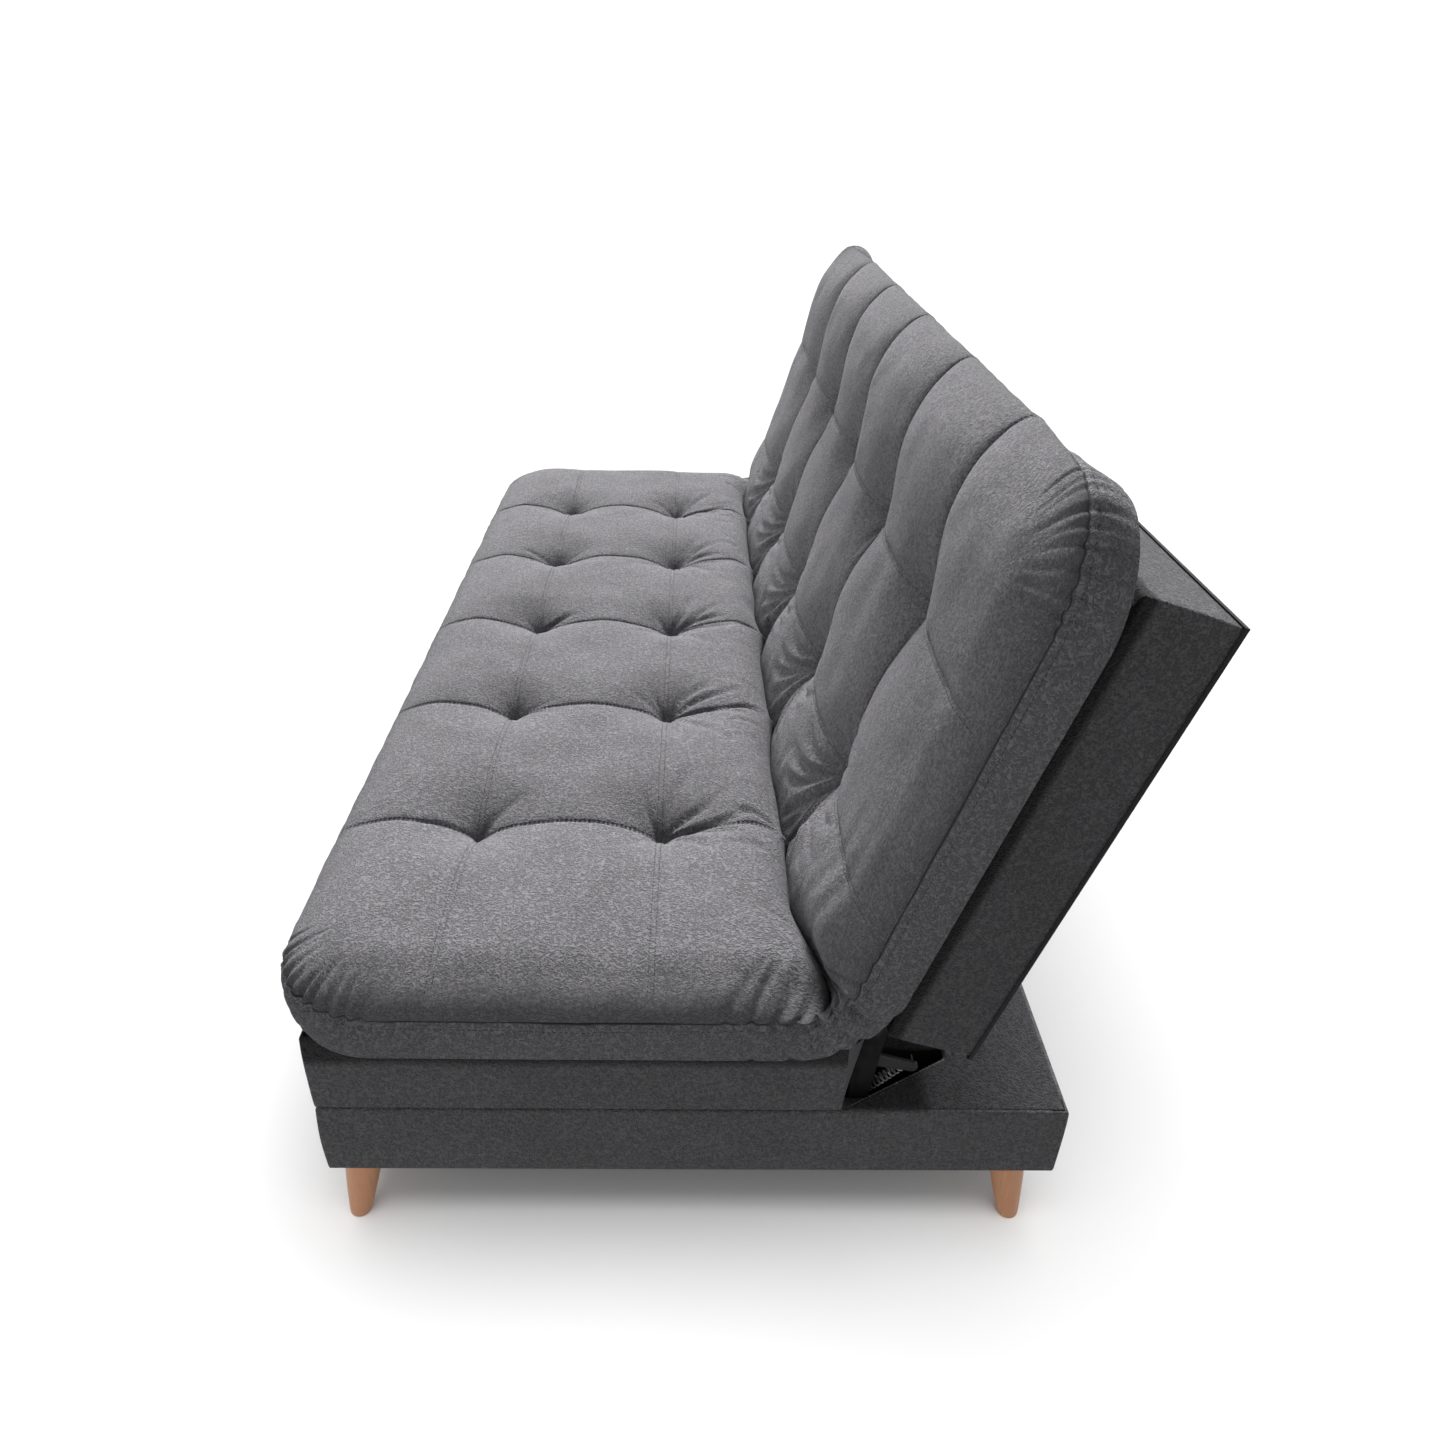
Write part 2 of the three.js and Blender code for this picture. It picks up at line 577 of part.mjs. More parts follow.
const sofaBed = new THREE.Group();
sofaBed.position.y = -DEPTH_CENTRE;
baseRails(sofaBed);
baseFabric(sofaBed);
legs(sofaBed);
mechanism(sofaBed);
seat(sofaBed);
back(sofaBed);

export default sofaBed;
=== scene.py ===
import json
import math

import bpy
import numpy as np
from mathutils import Matrix, Vector


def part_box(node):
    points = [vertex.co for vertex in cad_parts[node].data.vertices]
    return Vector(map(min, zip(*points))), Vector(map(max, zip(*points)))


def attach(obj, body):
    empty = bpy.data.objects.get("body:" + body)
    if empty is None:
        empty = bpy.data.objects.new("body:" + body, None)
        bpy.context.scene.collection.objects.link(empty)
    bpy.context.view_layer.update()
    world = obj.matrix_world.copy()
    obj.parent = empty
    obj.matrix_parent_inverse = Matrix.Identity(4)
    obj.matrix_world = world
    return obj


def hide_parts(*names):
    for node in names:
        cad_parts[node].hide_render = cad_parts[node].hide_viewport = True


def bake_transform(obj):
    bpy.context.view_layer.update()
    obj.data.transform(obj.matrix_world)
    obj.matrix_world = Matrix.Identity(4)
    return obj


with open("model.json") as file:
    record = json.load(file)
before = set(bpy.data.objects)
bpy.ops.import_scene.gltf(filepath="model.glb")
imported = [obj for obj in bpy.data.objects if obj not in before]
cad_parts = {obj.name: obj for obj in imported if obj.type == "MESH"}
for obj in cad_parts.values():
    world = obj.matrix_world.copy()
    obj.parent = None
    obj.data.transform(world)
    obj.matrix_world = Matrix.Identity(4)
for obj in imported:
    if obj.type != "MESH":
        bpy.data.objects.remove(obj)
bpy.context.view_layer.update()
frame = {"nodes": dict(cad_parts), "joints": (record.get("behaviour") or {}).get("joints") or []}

# ---- the frame's measures (metres; +X to the sofa's right end, +Y to the back, +Z up) ----
RECLINE = next(joint for joint in frame["joints"] if joint["name"] == "back_recline")
LEAN = math.radians(90 - RECLINE["range_deg"][1])  # the back's lean from upright
UP = np.array([math.sin(LEAN), math.cos(LEAN)])  # (y, z) up the back
FORWARD = np.array([-math.cos(LEAN), math.sin(LEAN)])  # (y, z) out of the back's face


def node_box(name):
    low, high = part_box(name)
    return np.array(low), np.array(high)


BASE_LOW, BASE_HIGH = node_box("base_cover")
SEAT_LOW, SEAT_HIGH = node_box("seat_cover")
BACK_LOW, BACK_HIGH = node_box("back_cover")
MATTRESS_LOW, _ = node_box("seat_mattress")
BACK_SPAN = BACK_HIGH - BACK_LOW
# The back box's height and thickness follow from its leaning outline's width and height.
FLATTEN = np.linalg.inv(np.array([[UP[0], UP[1]], [UP[1], UP[0]]]))
BACK_HEIGHT, BACK_THICK = FLATTEN @ np.array([BACK_SPAN[1], BACK_SPAN[2]])
CORNER = np.array([BACK_LOW[1], BACK_HIGH[2] - BACK_HEIGHT * UP[1]])  # its lower front edge


def on_back(s, n):
    """(y, z) of a point s up the back box's face and n in front of it."""
    return CORNER[0] + s * UP[0] + n * FORWARD[0], CORNER[1] + s * UP[1] + n * FORWARD[1]


# ---- mesh and noise tools ----
def smooth(t):
    t = np.clip(t, 0, 1)
    return t * t * (3 - 2 * t)


def mix(a, b, t):
    return a * (1 - t) + b * t


def bell(t, width):
    """1 at zero, falling off smoothly to both sides."""
    return np.exp(-((t / width) ** 2))


def run_along(*steps):
    """The distance run so far at each point, from the steps between the points."""
    return np.concatenate([[0], np.cumsum(np.linalg.norm(np.stack(steps), axis=0))])


def wave(t, period, seed):
    """Smooth noise along a line, about -1 to 1."""
    count = 4096
    knots = np.random.RandomState(seed).uniform(-1, 1, count)
    u = np.asarray(t) / period + count // 2
    i = np.floor(u).astype(int)
    return mix(knots[i % count], knots[(i + 1) % count], smooth(u - i))


def ripple(x, y, period, seed):
    """Smooth noise over a plane, about -1 to 1."""
    count = 512
    knots = np.random.RandomState(seed).uniform(-1, 1, (count, count))
    u, v = np.asarray(x) / period + count // 2, np.asarray(y) / period + count // 2
    i, j = np.floor(u).astype(int), np.floor(v).astype(int)
    a = smooth(u - i)
    low, high = [mix(knots[i % count, k % count], knots[(i + 1) % count, k % count], a) for k in (j, j + 1)]
    return mix(low, high, smooth(v - j))


KNOT_PULL = 0.55  # how strongly the values of spaced() are drawn to their knots


def spaced(knots, step):
    """Values through all the knots, about a step apart and closer together near each knot."""
    values = [knots[0]]
    for a, b in zip(knots[:-1], knots[1:]):
        count = max(2, round((b - a) / step))
        t = np.arange(1, count + 1) / count
        t = t - KNOT_PULL * np.sin(2 * np.pi * t) / (2 * np.pi)
        values.extend(a + (b - a) * t)
    return np.array(values)


def halved(values, wanted):
    """Adds a value in the middle of every step for whose middle wanted() is true."""
    middles = (values[:-1] + values[1:]) / 2
    return np.sort(np.concatenate([values, middles[wanted(middles)]]))


def add_object(name, data):
    thing = bpy.data.objects.new(name, data)
    bpy.context.scene.collection.objects.link(thing)
    return thing


def add_mesh(name, points, faces, material, uv=None):
    mesh = bpy.data.meshes.new(name)
    mesh.from_pydata(np.asarray(points).tolist(), [], faces)
    mesh.validate()
    mesh.materials.append(material)
    if uv is not None:
        loops = np.zeros(len(mesh.loops), np.int32)
        mesh.loops.foreach_get("vertex_index", loops)
        layer = mesh.uv_layers.new(name="UVMap")
        layer.data.foreach_set("uv", np.asarray(uv, np.float32)[loops].ravel())
    mesh.shade_smooth()
    return add_object(name, mesh)


def grid_faces(rows, columns, start=0, close=False):
    """Quads over rows x columns points stored row by row; close joins the last column to the first."""
    faces = []
    for r in range(rows - 1):
        for c in range(columns if close else columns - 1):
            d = (c + 1) % columns
            a = start + r * columns
            faces.append((a + c, a + d, a + columns + d, a + columns + c))
    return faces


# ---- materials ----
def node_tree(name):
    material = bpy.data.materials.new(name)
    material.use_nodes = True
    tree = material.node_tree
    return material, tree, tree.nodes["Principled BSDF"]


def add_node(tree, kind, **values):
    node = tree.nodes.new(kind)
    for key, value in values.items():
        if key in node.inputs:
            node.inputs[key].default_value = value
        else:
            setattr(node, key, value)
    return node


def coordinates(tree, uv=False, scale=(1, 1, 1)):
    """Texture coordinates in metres times the scale: from the UV map, or from the piece's own space."""
    source = add_node(tree, "ShaderNodeTexCoord")
    mapping = add_node(tree, "ShaderNodeMapping")
    mapping.inputs["Scale"].default_value = scale
    tree.links.new(source.outputs["UV" if uv else "Object"], mapping.inputs["Vector"])
    return mapping.outputs["Vector"]


def ramp(tree, source, stops):
    node = add_node(tree, "ShaderNodeValToRGB")
    elements = node.color_ramp.elements
    for element, (place, level) in zip(elements, (stops[0], stops[-1])):
        element.position = place
        element.color = (level, level, level, 1)
    for place, level in stops[1:-1]:
        element = elements.new(place)
        element.color = (level, level, level, 1)
    tree.links.new(source, node.inputs["Fac"])
    return node.outputs["Color"]


def math_node(tree, operation, a, b):
    node = add_node(tree, "ShaderNodeMath", operation=operation)
    for socket, value in zip(node.inputs, (a, b)):
        if isinstance(value, (int, float)):
            socket.default_value = value
        else:
            tree.links.new(value, socket)
    return node.outputs["Value"]


def noise(tree, vector, **values):
    node = add_node(tree, "ShaderNodeTexNoise", **values)
    tree.links.new(vector, node.inputs["Vector"])
    return node.outputs["Fac"]


def add_bump(tree, shader, height, strength, distance):
    node = add_node(tree, "ShaderNodeBump", Strength=strength, Distance=distance)
    tree.links.new(height, node.inputs["Height"])
    tree.links.new(node.outputs["Normal"], shader.inputs["Normal"])


def paint(tree, shader, colour, *factors):
    """Gives the shader the colour times each grey factor."""
    result = add_node(tree, "ShaderNodeRGB").outputs[0]
    result.default_value = (*colour, 1)
    for factor in factors:
        node = add_node(tree, "ShaderNodeMix", data_type="RGBA", blend_type="MULTIPLY")
        node.inputs["Factor"].default_value = 1
        tree.links.new(result, node.inputs["A"])
        tree.links.new(factor, node.inputs["B"])
        result = node.outputs["Result"]
    tree.links.new(result, shader.inputs["Base Color"])


def suede(name, colour, uv, painted_shadow=None):
    """Suede-like velvet: a worm-shaped pebble grain, a fine pile and soft marks in the nap.

    The last argument, a ramp of grey over the UV map's second direction, is a painted shadow of the
    mattress's band on the box's wall beside it.
    """
    material, tree, shader = node_tree(name)
    vector = coordinates(tree, uv)
    pebble = noise(tree, vector, Scale=235.0, Detail=1.0, Roughness=0.5, Distortion=1.4)
    patch = noise(tree, vector, Scale=60.0, Detail=2.0, Roughness=0.5)
    pile = noise(tree, vector, Scale=1100.0, Detail=2.0, Roughness=0.6)
    nap = noise(tree, vector, Scale=9.0, Detail=3.0, Roughness=0.55, Distortion=0.6)
    worms = ramp(tree, pebble, [(0.38, 0.0), (0.5, 0.5), (0.6, 1.0)])
    height = math_node(tree, "ADD", worms, math_node(tree, "MULTIPLY", pile, 0.3))
    add_bump(tree, shader, height, 1.0, 0.0015)
    factors = [
        ramp(tree, worms, [(0.0, 0.72), (0.5, 1.0), (1.0, 1.21)]),
        ramp(tree, patch, [(0.3, 0.97), (0.7, 1.03)]),
        ramp(tree, nap, [(0.3, 0.93), (0.5, 1.0), (0.72, 1.05)]),
    ]
    # Painted shadow: the wall darkens where the mattress's band overhangs it.
    if painted_shadow:
        split = add_node(tree, "ShaderNodeSeparateXYZ")
        tree.links.new(vector, split.inputs["Vector"])
        factors.append(ramp(tree, split.outputs["Y"], painted_shadow))
    paint(tree, shader, colour, *factors)
    shader.inputs["Roughness"].default_value = 0.95
    shader.inputs["Specular IOR Level"].default_value = 0.1
    shader.inputs["Sheen Weight"].default_value = 0.12
    shader.inputs["Sheen Roughness"].default_value = 0.4
    shader.inputs["Sheen Tint"].default_value = (0.8, 0.8, 0.86, 1)
    return material


def timber(name, colour, scale, roughness, contrast):
    """Wood with its grain along one axis: the scale stretches the noise along it."""
    material, tree, shader = node_tree(name)
    rings = noise(tree, coordinates(tree, scale=scale), Scale=1.0, Detail=5.0, Roughness=0.6, Distortion=1.2)
    low = 1 - contrast
    paint(tree, shader, colour, ramp(tree, rings, [(0.3, low), (0.45, 0.95), (0.55, low + 0.1), (0.7, 1.1)]))
    add_bump(tree, shader, rings, 0.25, 0.0004)
    shader.inputs["Roughness"].default_value = roughness
    return material


def steel(name, colour, roughness):
    """Plated steel with fine rolling marks and a cloudy finish."""
    material, tree, shader = node_tree(name)
    brushed = noise(tree, coordinates(tree, scale=(300, 40, 1500)), Scale=1.0, Detail=4.0)
    cloud = noise(tree, coordinates(tree), Scale=45.0, Detail=3.0)
    marks = ramp(tree, brushed, [(0.3, 0.8), (0.7, 1.1)])
    stain = ramp(tree, cloud, [(0.35, 0.75), (0.65, 1.05)])
    paint(tree, shader, colour, marks, stain)
    tree.links.new(math_node(tree, "MULTIPLY", cloud, 2 * roughness), shader.inputs["Roughness"])
    shader.inputs["Metallic"].default_value = 1.0
    return material


def felt(name, colour):
    """Black non-woven sheet with its bonding dots."""
    material, tree, shader = node_tree(name)
    vector = coordinates(tree)
    dots = add_node(tree, "ShaderNodeTexVoronoi", Scale=420.0)
    tree.links.new(vector, dots.inputs["Vector"])
    fibres = noise(tree, vector, Scale=300.0, Detail=5.0)
    paint(tree, shader, colour, ramp(tree, fibres, [(0.3, 0.7), (0.7, 1.3)]))
    add_bump(tree, shader, dots.outputs["Distance"], 0.4, 0.0005)
    shader.inputs["Roughness"].default_value = 0.95
    return material


FLOOR_GLOW = 0.01  # keeps the floor under the sofa from going black


def plain_floor():
    material, tree, shader = node_tree("floor_paper")
    tone = noise(tree, coordinates(tree), Scale=3.0, Detail=2.0)
    paint(tree, shader, (0.86, 0.86, 0.86), ramp(tree, tone, [(0.3, 0.99), (0.7, 1.0)]))
    shader.inputs["Roughness"].default_value = 1.0
    shader.inputs["Specular IOR Level"].default_value = 0.0
    shader.inputs["Emission Color"].default_value = (1, 1, 1, 1)
    shader.inputs["Emission Strength"].default_value = FLOOR_GLOW
    return material


VELVET_COLOUR = (0.198, 0.193, 0.203)
# The boxes wear the mattress's velvet; their darker colour is painted shade for their upright faces.
SHADED_BOX_COLOUR = (0.155, 0.154, 0.160)
FABRIC = {
    "mattress": suede("mattress_velvet_mat", VELVET_COLOUR, True),
    "box": suede("box_velvet_mat", SHADED_BOX_COLOUR, True),
    # The seat box's wall darkens just below its top edge: a painted shadow of the mattress's band.
    "seat_box": suede("seat_box_velvet_shadow_mat", SHADED_BOX_COLOUR, True, [(0.090, 1.0), (0.103, 0.25)]),
    # The back box's velvet is a darker copy again, painted shade, and it darkens along its edge at the
    # mattress: a painted shadow of the band.
    "back_box": suede("back_box_velvet_shaded_mat", (0.125, 0.124, 0.129), True, [(0.032, 0.25), (0.039, 1.0)]),
    # The deck velvet is a darker copy still: painted shade under the back box.
    "deck": suede("deck_velvet_shaded_mat", (0.078, 0.077, 0.081), False),
    # The pale cord along the deck's slanting cuts is a painted highlight of their rolled edge.
    "cord": suede("cord_painted_highlight_mat", (0.30, 0.30, 0.31), False),
    "dust": felt("dust_cover_mat", (0.012, 0.012, 0.014)),
}
# The thread is real; its dark colour is painted shade of the grooves along the seams.
SHADED_THREAD = suede("thread_painted_shade_mat", (0.085, 0.084, 0.090), False)
PINE_COLOUR = (0.42, 0.29, 0.16)
PINE = {
    "x": timber("pine_along_x", PINE_COLOUR, (4, 60, 60), 0.7, 0.3),
    "y": timber("pine_along_y", PINE_COLOUR, (60, 4, 60), 0.7, 0.3),
    "z": timber("pine_along_z", PINE_COLOUR, (60, 60, 4), 0.7, 0.3),
}
LEG_WOOD = timber("leg_wood_mat", (0.78, 0.37, 0.19), (130, 130, 11), 0.42, 0.16)
# The rails round the mechanism are near-black pine: painted shade of the hollow they stand in.
SHADED_PINE = timber("pine_painted_shade", (0.03, 0.022, 0.015), (4, 60, 60), 0.7, 0.3)  # the rails round the mechanism
# The bracket, arms, pawl and bolts are near black.
STEEL = steel("steel_plate_mat", (0.010, 0.010, 0.011), 0.6)
BARE_STEEL = steel("bare_steel_mat", (0.035, 0.035, 0.037), 0.5)
SPRING_STEEL = steel("spring_mat", (0.22, 0.22, 0.225), 0.4)
BOLT = steel("bolt_mat", (0.028, 0.028, 0.029), 0.5)
ZINC = steel("zinc_mat", (0.66, 0.67, 0.7), 0.3)


# ---- camera, light and floor ----
CAMERA_PLACE = (1.8126, -0.0186, 1.2429)
CAMERA_AZIMUTH, CAMERA_PITCH, CAMERA_ROLL = math.radians(-2.18), math.radians(30.25), math.radians(2.1)
LENS = 26.72  # mm on a sensor 36 mm wide


def add_camera():
    camera = add_object("camera", bpy.data.cameras.new("camera"))
    bpy.context.scene.camera = camera
    camera.data.lens = LENS
    camera.data.sensor_width = 36
    level = math.cos(CAMERA_PITCH)
    along, aside = level * math.cos(CAMERA_AZIMUTH), level * math.sin(CAMERA_AZIMUTH)
    ahead = Vector((-along, -aside, -math.sin(CAMERA_PITCH)))
    right = ahead.cross(Vector((0, 0, 1))).normalized()
    above = right.cross(ahead)
    turn, tilt = math.cos(CAMERA_ROLL), math.sin(CAMERA_ROLL)
    axes = Matrix((turn * right + tilt * above, turn * above - tilt * right, -ahead)).transposed()
    camera.matrix_world = Matrix.Translation(CAMERA_PLACE) @ axes.to_4x4()


# The distant lights as (name, strength, width in degrees, direction towards it, link to the floor).
# The narrow and the wide one from above are for the floor's soft shadow alone.
SUNS = [
    ("softbox", 7.6, 22, (-1.5, 0.15, 1.0), "EXCLUDE"),
    ("overhead", 2.6, 50, (0, 0, 1), "INCLUDE"),
    ("dome", 1.1, 150, (0, 0, 1), "INCLUDE"),
]
# The softboxes as (name, place, aim, size, watts): one off the far front corner for the back's face, and a
# low one at the near end for the upright faces there.
SOFTBOXES = [
    ("front_softbox", (-2.7, -1.5, 1.5), (-0.8, 0.3, 0.6), 1.4, 56),
    ("end_softbox", (2.9, -1.3, 0.12), (0.97, -0.05, 0.25), 0.9, 9),
]
# The world's grey from straight below (0) through the horizon (0.5) to straight above (1).
SKY = [(0.0, 0.08), (0.493, 0.08), (0.497, 2.3), (0.53, 2.3), (0.6, 0.14), (1.0, 0.2)]


def add_lamp(name, kind, energy, towards, receiver, state):
    """A light shining from a direction, kept off the receiver (EXCLUDE) or for it alone (INCLUDE)."""
    lamp = add_object(name, bpy.data.lights.new(name, kind))
    lamp.data.energy = energy
    lamp.rotation_euler = towards.to_track_quat("Z", "Y").to_euler()
    group = bpy.data.collections.new(lamp.name + "_receivers")
    group.objects.link(receiver)
    lamp.light_linking.receiver_collection = group
    group.collection_objects[0].light_linking.link_state = state
    return lamp


def add_light(floor):
    for name, strength, width, towards, state in SUNS:
        sun = add_lamp(name, "SUN", strength, Vector(towards), floor, state)
        sun.data.angle = math.radians(width)
    for name, place, aim, size, watts in SOFTBOXES:
        lamp = add_lamp(name, "AREA", watts, Vector(place) - Vector(aim), floor, "EXCLUDE")
        lamp.data.size = size
        lamp.location = place


def add_world():
    world = bpy.data.worlds.new("studio")
    bpy.context.scene.world = world
    world.use_nodes = True
    tree = world.node_tree
    direction = add_node(tree, "ShaderNodeTexCoord")
    split = add_node(tree, "ShaderNodeSeparateXYZ")
    tree.links.new(direction.outputs["Generated"], split.inputs["Vector"])
    half = math_node(tree, "MULTIPLY", split.outputs["Z"], 0.5)
    height = math_node(tree, "ADD", half, 0.5)
    tree.links.new(ramp(tree, height, SKY), tree.nodes["Background"].inputs["Color"])
    bpy.context.scene.view_settings.view_transform = "Standard"


FLOOR_REACH = 900  # so far that its edge is at the horizon


def add_floor():
    corners = [(-1, -1, 0), (1, -1, 0), (1, 1, 0), (-1, 1, 0)]
    floor = add_mesh("studio_floor", FLOOR_REACH * np.array(corners), [(0, 1, 2, 3)], plain_floor())
    floor.visible_diffuse = False
    return floor


# ---- mattress: one tufted pad in two halves that meet at the crease ----
# Places on it are x and v: v runs from its front edge over the seat to the crease, and up the back.
SEAT_TOP = SEAT_HIGH[2]
FRONT = MATTRESS_LOW[1]
CREASE = 0.601  # v of the crease
BACK_START = CREASE + 0.002  # v where the back half's own height starts
TOP_EDGE = BACK_START + 0.635  # v of its upper edge
HALF_X = 0.968  # x of the pad's ends
PLAN_CORNER = 0.125  # radius of the four corners in plan
ROLL = 0.084  # width of the shoulder that rolls over from the face to the seam
ROLL_RUN = ROLL * math.pi / 2  # the shoulder's run of cloth
GRID_EXTRA = ROLL_RUN - ROLL  # the grid is longer than the plan by this, at each outer edge
OVERTURN = 0.38  # along the top the shoulder rolls on past upright by this share of a quarter turn
SEAM_Z = 0.369  # the upper seam's height on the seat
CREST_Z = 0.411  # the height of the seat's pillow tops
CREASE_Z = 0.352  # the height of the crease's floor
CREASE_ROLL = 0.060  # the seat's top rolls down into the crease over this width
CREASE_SCALLOP = 0.013  # the crease runs further back at the seams than between them
CREASE_END_SHIFT = 0.040  # and curves back by this towards its two ends
BEND_FROM = 0.5835  # v where the sides start to bend up to the back
BEND_TO = 0.681  # and where they are straight again
BEND_CENTRE = np.array([FRONT + BEND_FROM, 0.4445])  # (y, z) of the bend's centre
BEND_EASE = 0.03  # the bend's last stretch, blended into the straight part
BEND_ANGLE = math.pi / 2 - LEAN
SEAM_N = 0.066  # the upper seam in front of the back box, at the ends
TOP_SEAM_N = 0.022  # and behind the rolled top edge
TUFT_X = 0.3167  # the tufts' spacing, a sixth of the boxes' length
TUFT_COLUMNS = TUFT_X * np.arange(-2, 3)
SEAT_ROWS = np.array([-0.2966, -0.0536]) - FRONT
BACK_ROWS = BACK_START + np.array([0.145, 0.394])
TUFT_ROWS = np.concatenate([SEAT_ROWS, BACK_ROWS])
# Depth of the pad's face in front of the back box, as (distance up the back, depth).
BACK_FACE = np.array([
    [0.0, 0.099], [0.045, 0.109], [0.145, 0.104], [0.27, 0.097],
    [0.394, 0.098], [0.53, 0.104], [0.64, 0.096],
])


def up_the_back(v):
    return v - BACK_START


def curve(table, t):
    """Smooth interpolation of a table of (place, value)."""
    places, values = table[:, 0], table[:, 1]
    i = np.clip(np.searchsorted(places, t) - 1, 0, len(places) - 2)
    slopes = np.gradient(values, places)
    width = places[i + 1] - places[i]
    u = np.clip((t - places[i]) / width, 0, 1)
    a, b = (1 + 2 * u) * (1 - u) ** 2, u * (1 - u) ** 2
    c, d = u * u * (3 - 2 * u), u * u * (u - 1)
    return a * values[i] + b * width * slopes[i] + c * values[i + 1] + d * width * slopes[i + 1]


def bend_turn(v):
    """How far the profile has turned from flat at v."""
    return BEND_ANGLE * np.clip((v - BEND_FROM) / (BEND_TO - BEND_FROM), 0, 1)


def bent_profile(v, seat_z, back_n):
    """(y, z) along a smooth profile: level on the seat, round the bend, and straight up the back."""
    turn = bend_turn(v)
    seat_radius = BEND_CENTRE[1] - seat_z
    y_back, z_back = on_back(up_the_back(v), back_n)
    y_bend = BEND_CENTRE[0] + seat_radius * np.sin(turn)
    z_bend = BEND_CENTRE[1] - seat_radius * np.cos(turn)
    on_seat, past = v < BEND_FROM, smooth((v - BEND_TO + BEND_EASE) / BEND_EASE)
    y = np.where(on_seat, FRONT + v, mix(y_bend, y_back, past))
    z = np.where(on_seat, seat_z, mix(z_bend, z_back, past))
    return y, z


def crest_profile(v):
    """(y, z) along the pillow tops, down into the sharp crease and up the back's face."""
    t = np.clip((v - CREASE + CREASE_ROLL) / CREASE_ROLL, 0, 1)
    seat_z = CREST_Z - (CREST_Z - CREASE_Z) * (1 - np.sqrt(1 - t * t))
    s = up_the_back(v)
    y_back, z_back = on_back(s, curve(BACK_FACE, s))
    on_seat = v <= CREASE
    return np.where(on_seat, FRONT + v, y_back), np.where(on_seat, seat_z, z_back)


def normal_at(v):
    turn = bend_turn(v)
    return -np.sin(turn), np.cos(turn)


def roll_in(t, edge, sign):
    """Plan place of the grid's place t: its last stretch before an outer edge runs down the shoulder."""
    e = np.clip(1 - sign * (edge + sign * GRID_EXTRA - t) / ROLL_RUN, 0, 1)
    return np.where(e > 0, edge - sign * ROLL * (1 - np.sin(np.pi / 2 * e)), t)


def plan_place(x, v):
    """Plan of the grid's place: its squares at the four outer corners are drawn into quarter discs."""
    x = roll_in(roll_in(x, HALF_X, 1), -HALF_X, -1)
    v = roll_in(roll_in(v, 0, -1), TOP_EDGE, 1)
    inner_x, inner_low, inner_high = HALF_X - PLAN_CORNER, PLAN_CORNER, TOP_EDGE - PLAN_CORNER
    a = np.clip((np.abs(x) - inner_x) / PLAN_CORNER, 0, 1)
    low = np.clip((inner_low - v) / PLAN_CORNER, 0, 1)
    high = np.clip((v - inner_high) / PLAN_CORNER, 0, 1)
    b = low + high
    new_a, new_b = a * np.sqrt(1 - b * b / 2), b * np.sqrt(1 - a * a / 2)
    new_x = np.where(a > 0, np.sign(x) * (inner_x + PLAN_CORNER * new_a), x)
    new_v = np.where(low > 0, inner_low - PLAN_CORNER * new_b, v)
    return new_x, np.where(high > 0, inner_high + PLAN_CORNER * new_b, new_v)


def outward_at(px, pv):
    """Unit plan direction out of the pad near its edge (zero further in), and the distance in from it."""
    hub = HALF_X - PLAN_CORNER
    dx = px - np.clip(px, -hub, hub)
    dv = pv - np.clip(pv, PLAN_CORNER, TOP_EDGE - PLAN_CORNER)
    radius = np.maximum(np.hypot(dx, dv), 1e-9)
    return dx / radius, dv / radius, PLAN_CORNER - radius


def overturned(px, pv):
    """1 along the top edge between its corners, where the shoulder rolls over to the rear, else 0."""
    return smooth((0.90 - np.abs(px)) / 0.28) * smooth((pv - TOP_EDGE + 0.15) / 0.06)


def nearest(values, t):
    return np.min(np.abs(np.asarray(t)[..., None] - values), axis=-1)


def valley(distance, half):
    """1 at a seam falling to 0 in the middle of the stuffed panels beside it, steeply at first."""
    u = 1 - np.clip(distance / half, 0, 1)
    return 1 - np.sqrt(1 - u**2.3)


# Depths as (on the seat, on the back half), with how far each valley reaches to either side.
TUFT_DEPTH, TUFT_REACH = (0.044, 0.050), 0.125
ACROSS_DEPTH, ACROSS_REACH = (0.0088, 0.019), 0.15  # the seams from the front edge to the top edge
ALONG_DEPTH, ALONG_REACH = (0.0035, 0.007), 0.11  # the seams from end to end
DIMPLE_DEPTH, DIMPLE_WIDTH = 0.007, 0.085  # the rounder hollow that every tuft adds
SEAM_GROOVE, GROOVE_WIDTH = 0.0012, 0.0045  # the narrow groove at a seam's stitches
END_SHARE = 0.45  # what is left of the seams along the pad at its ends
TUFT_CALM = 0.35  # the share by which the seams are shallower right at a tuft
CALM_WIDTH = 0.05


def tuft_field(x, v):
    """Depth drawn in by the tufts and by the seams that run through them."""
    dx, dv = nearest(TUFT_COLUMNS, x), nearest(TUFT_ROWS, v)
    distance = np.hypot(dx, dv)
    on_back_half = smooth((v - CREASE) / 0.05)
    tuft = mix(*TUFT_DEPTH, on_back_half) * valley(distance, TUFT_REACH)
    tuft = tuft + DIMPLE_DEPTH * bell(distance, DIMPLE_WIDTH)
    across = mix(*ACROSS_DEPTH, on_back_half) * valley(dx, ACROSS_REACH)
    across = across + SEAM_GROOVE * bell(dx, GROOVE_WIDTH)
    along = mix(*ALONG_DEPTH, on_back_half) * valley(dv, ALONG_REACH)
    along = along + SEAM_GROOVE * bell(dv, GROOVE_WIDTH)
    reach = END_SHARE + (1 - END_SHARE) * smooth((HALF_X - 0.03 - np.abs(x)) / 0.12)
    return tuft + (across + along * reach) * (1 - TUFT_CALM * bell(distance, CALM_WIDTH))


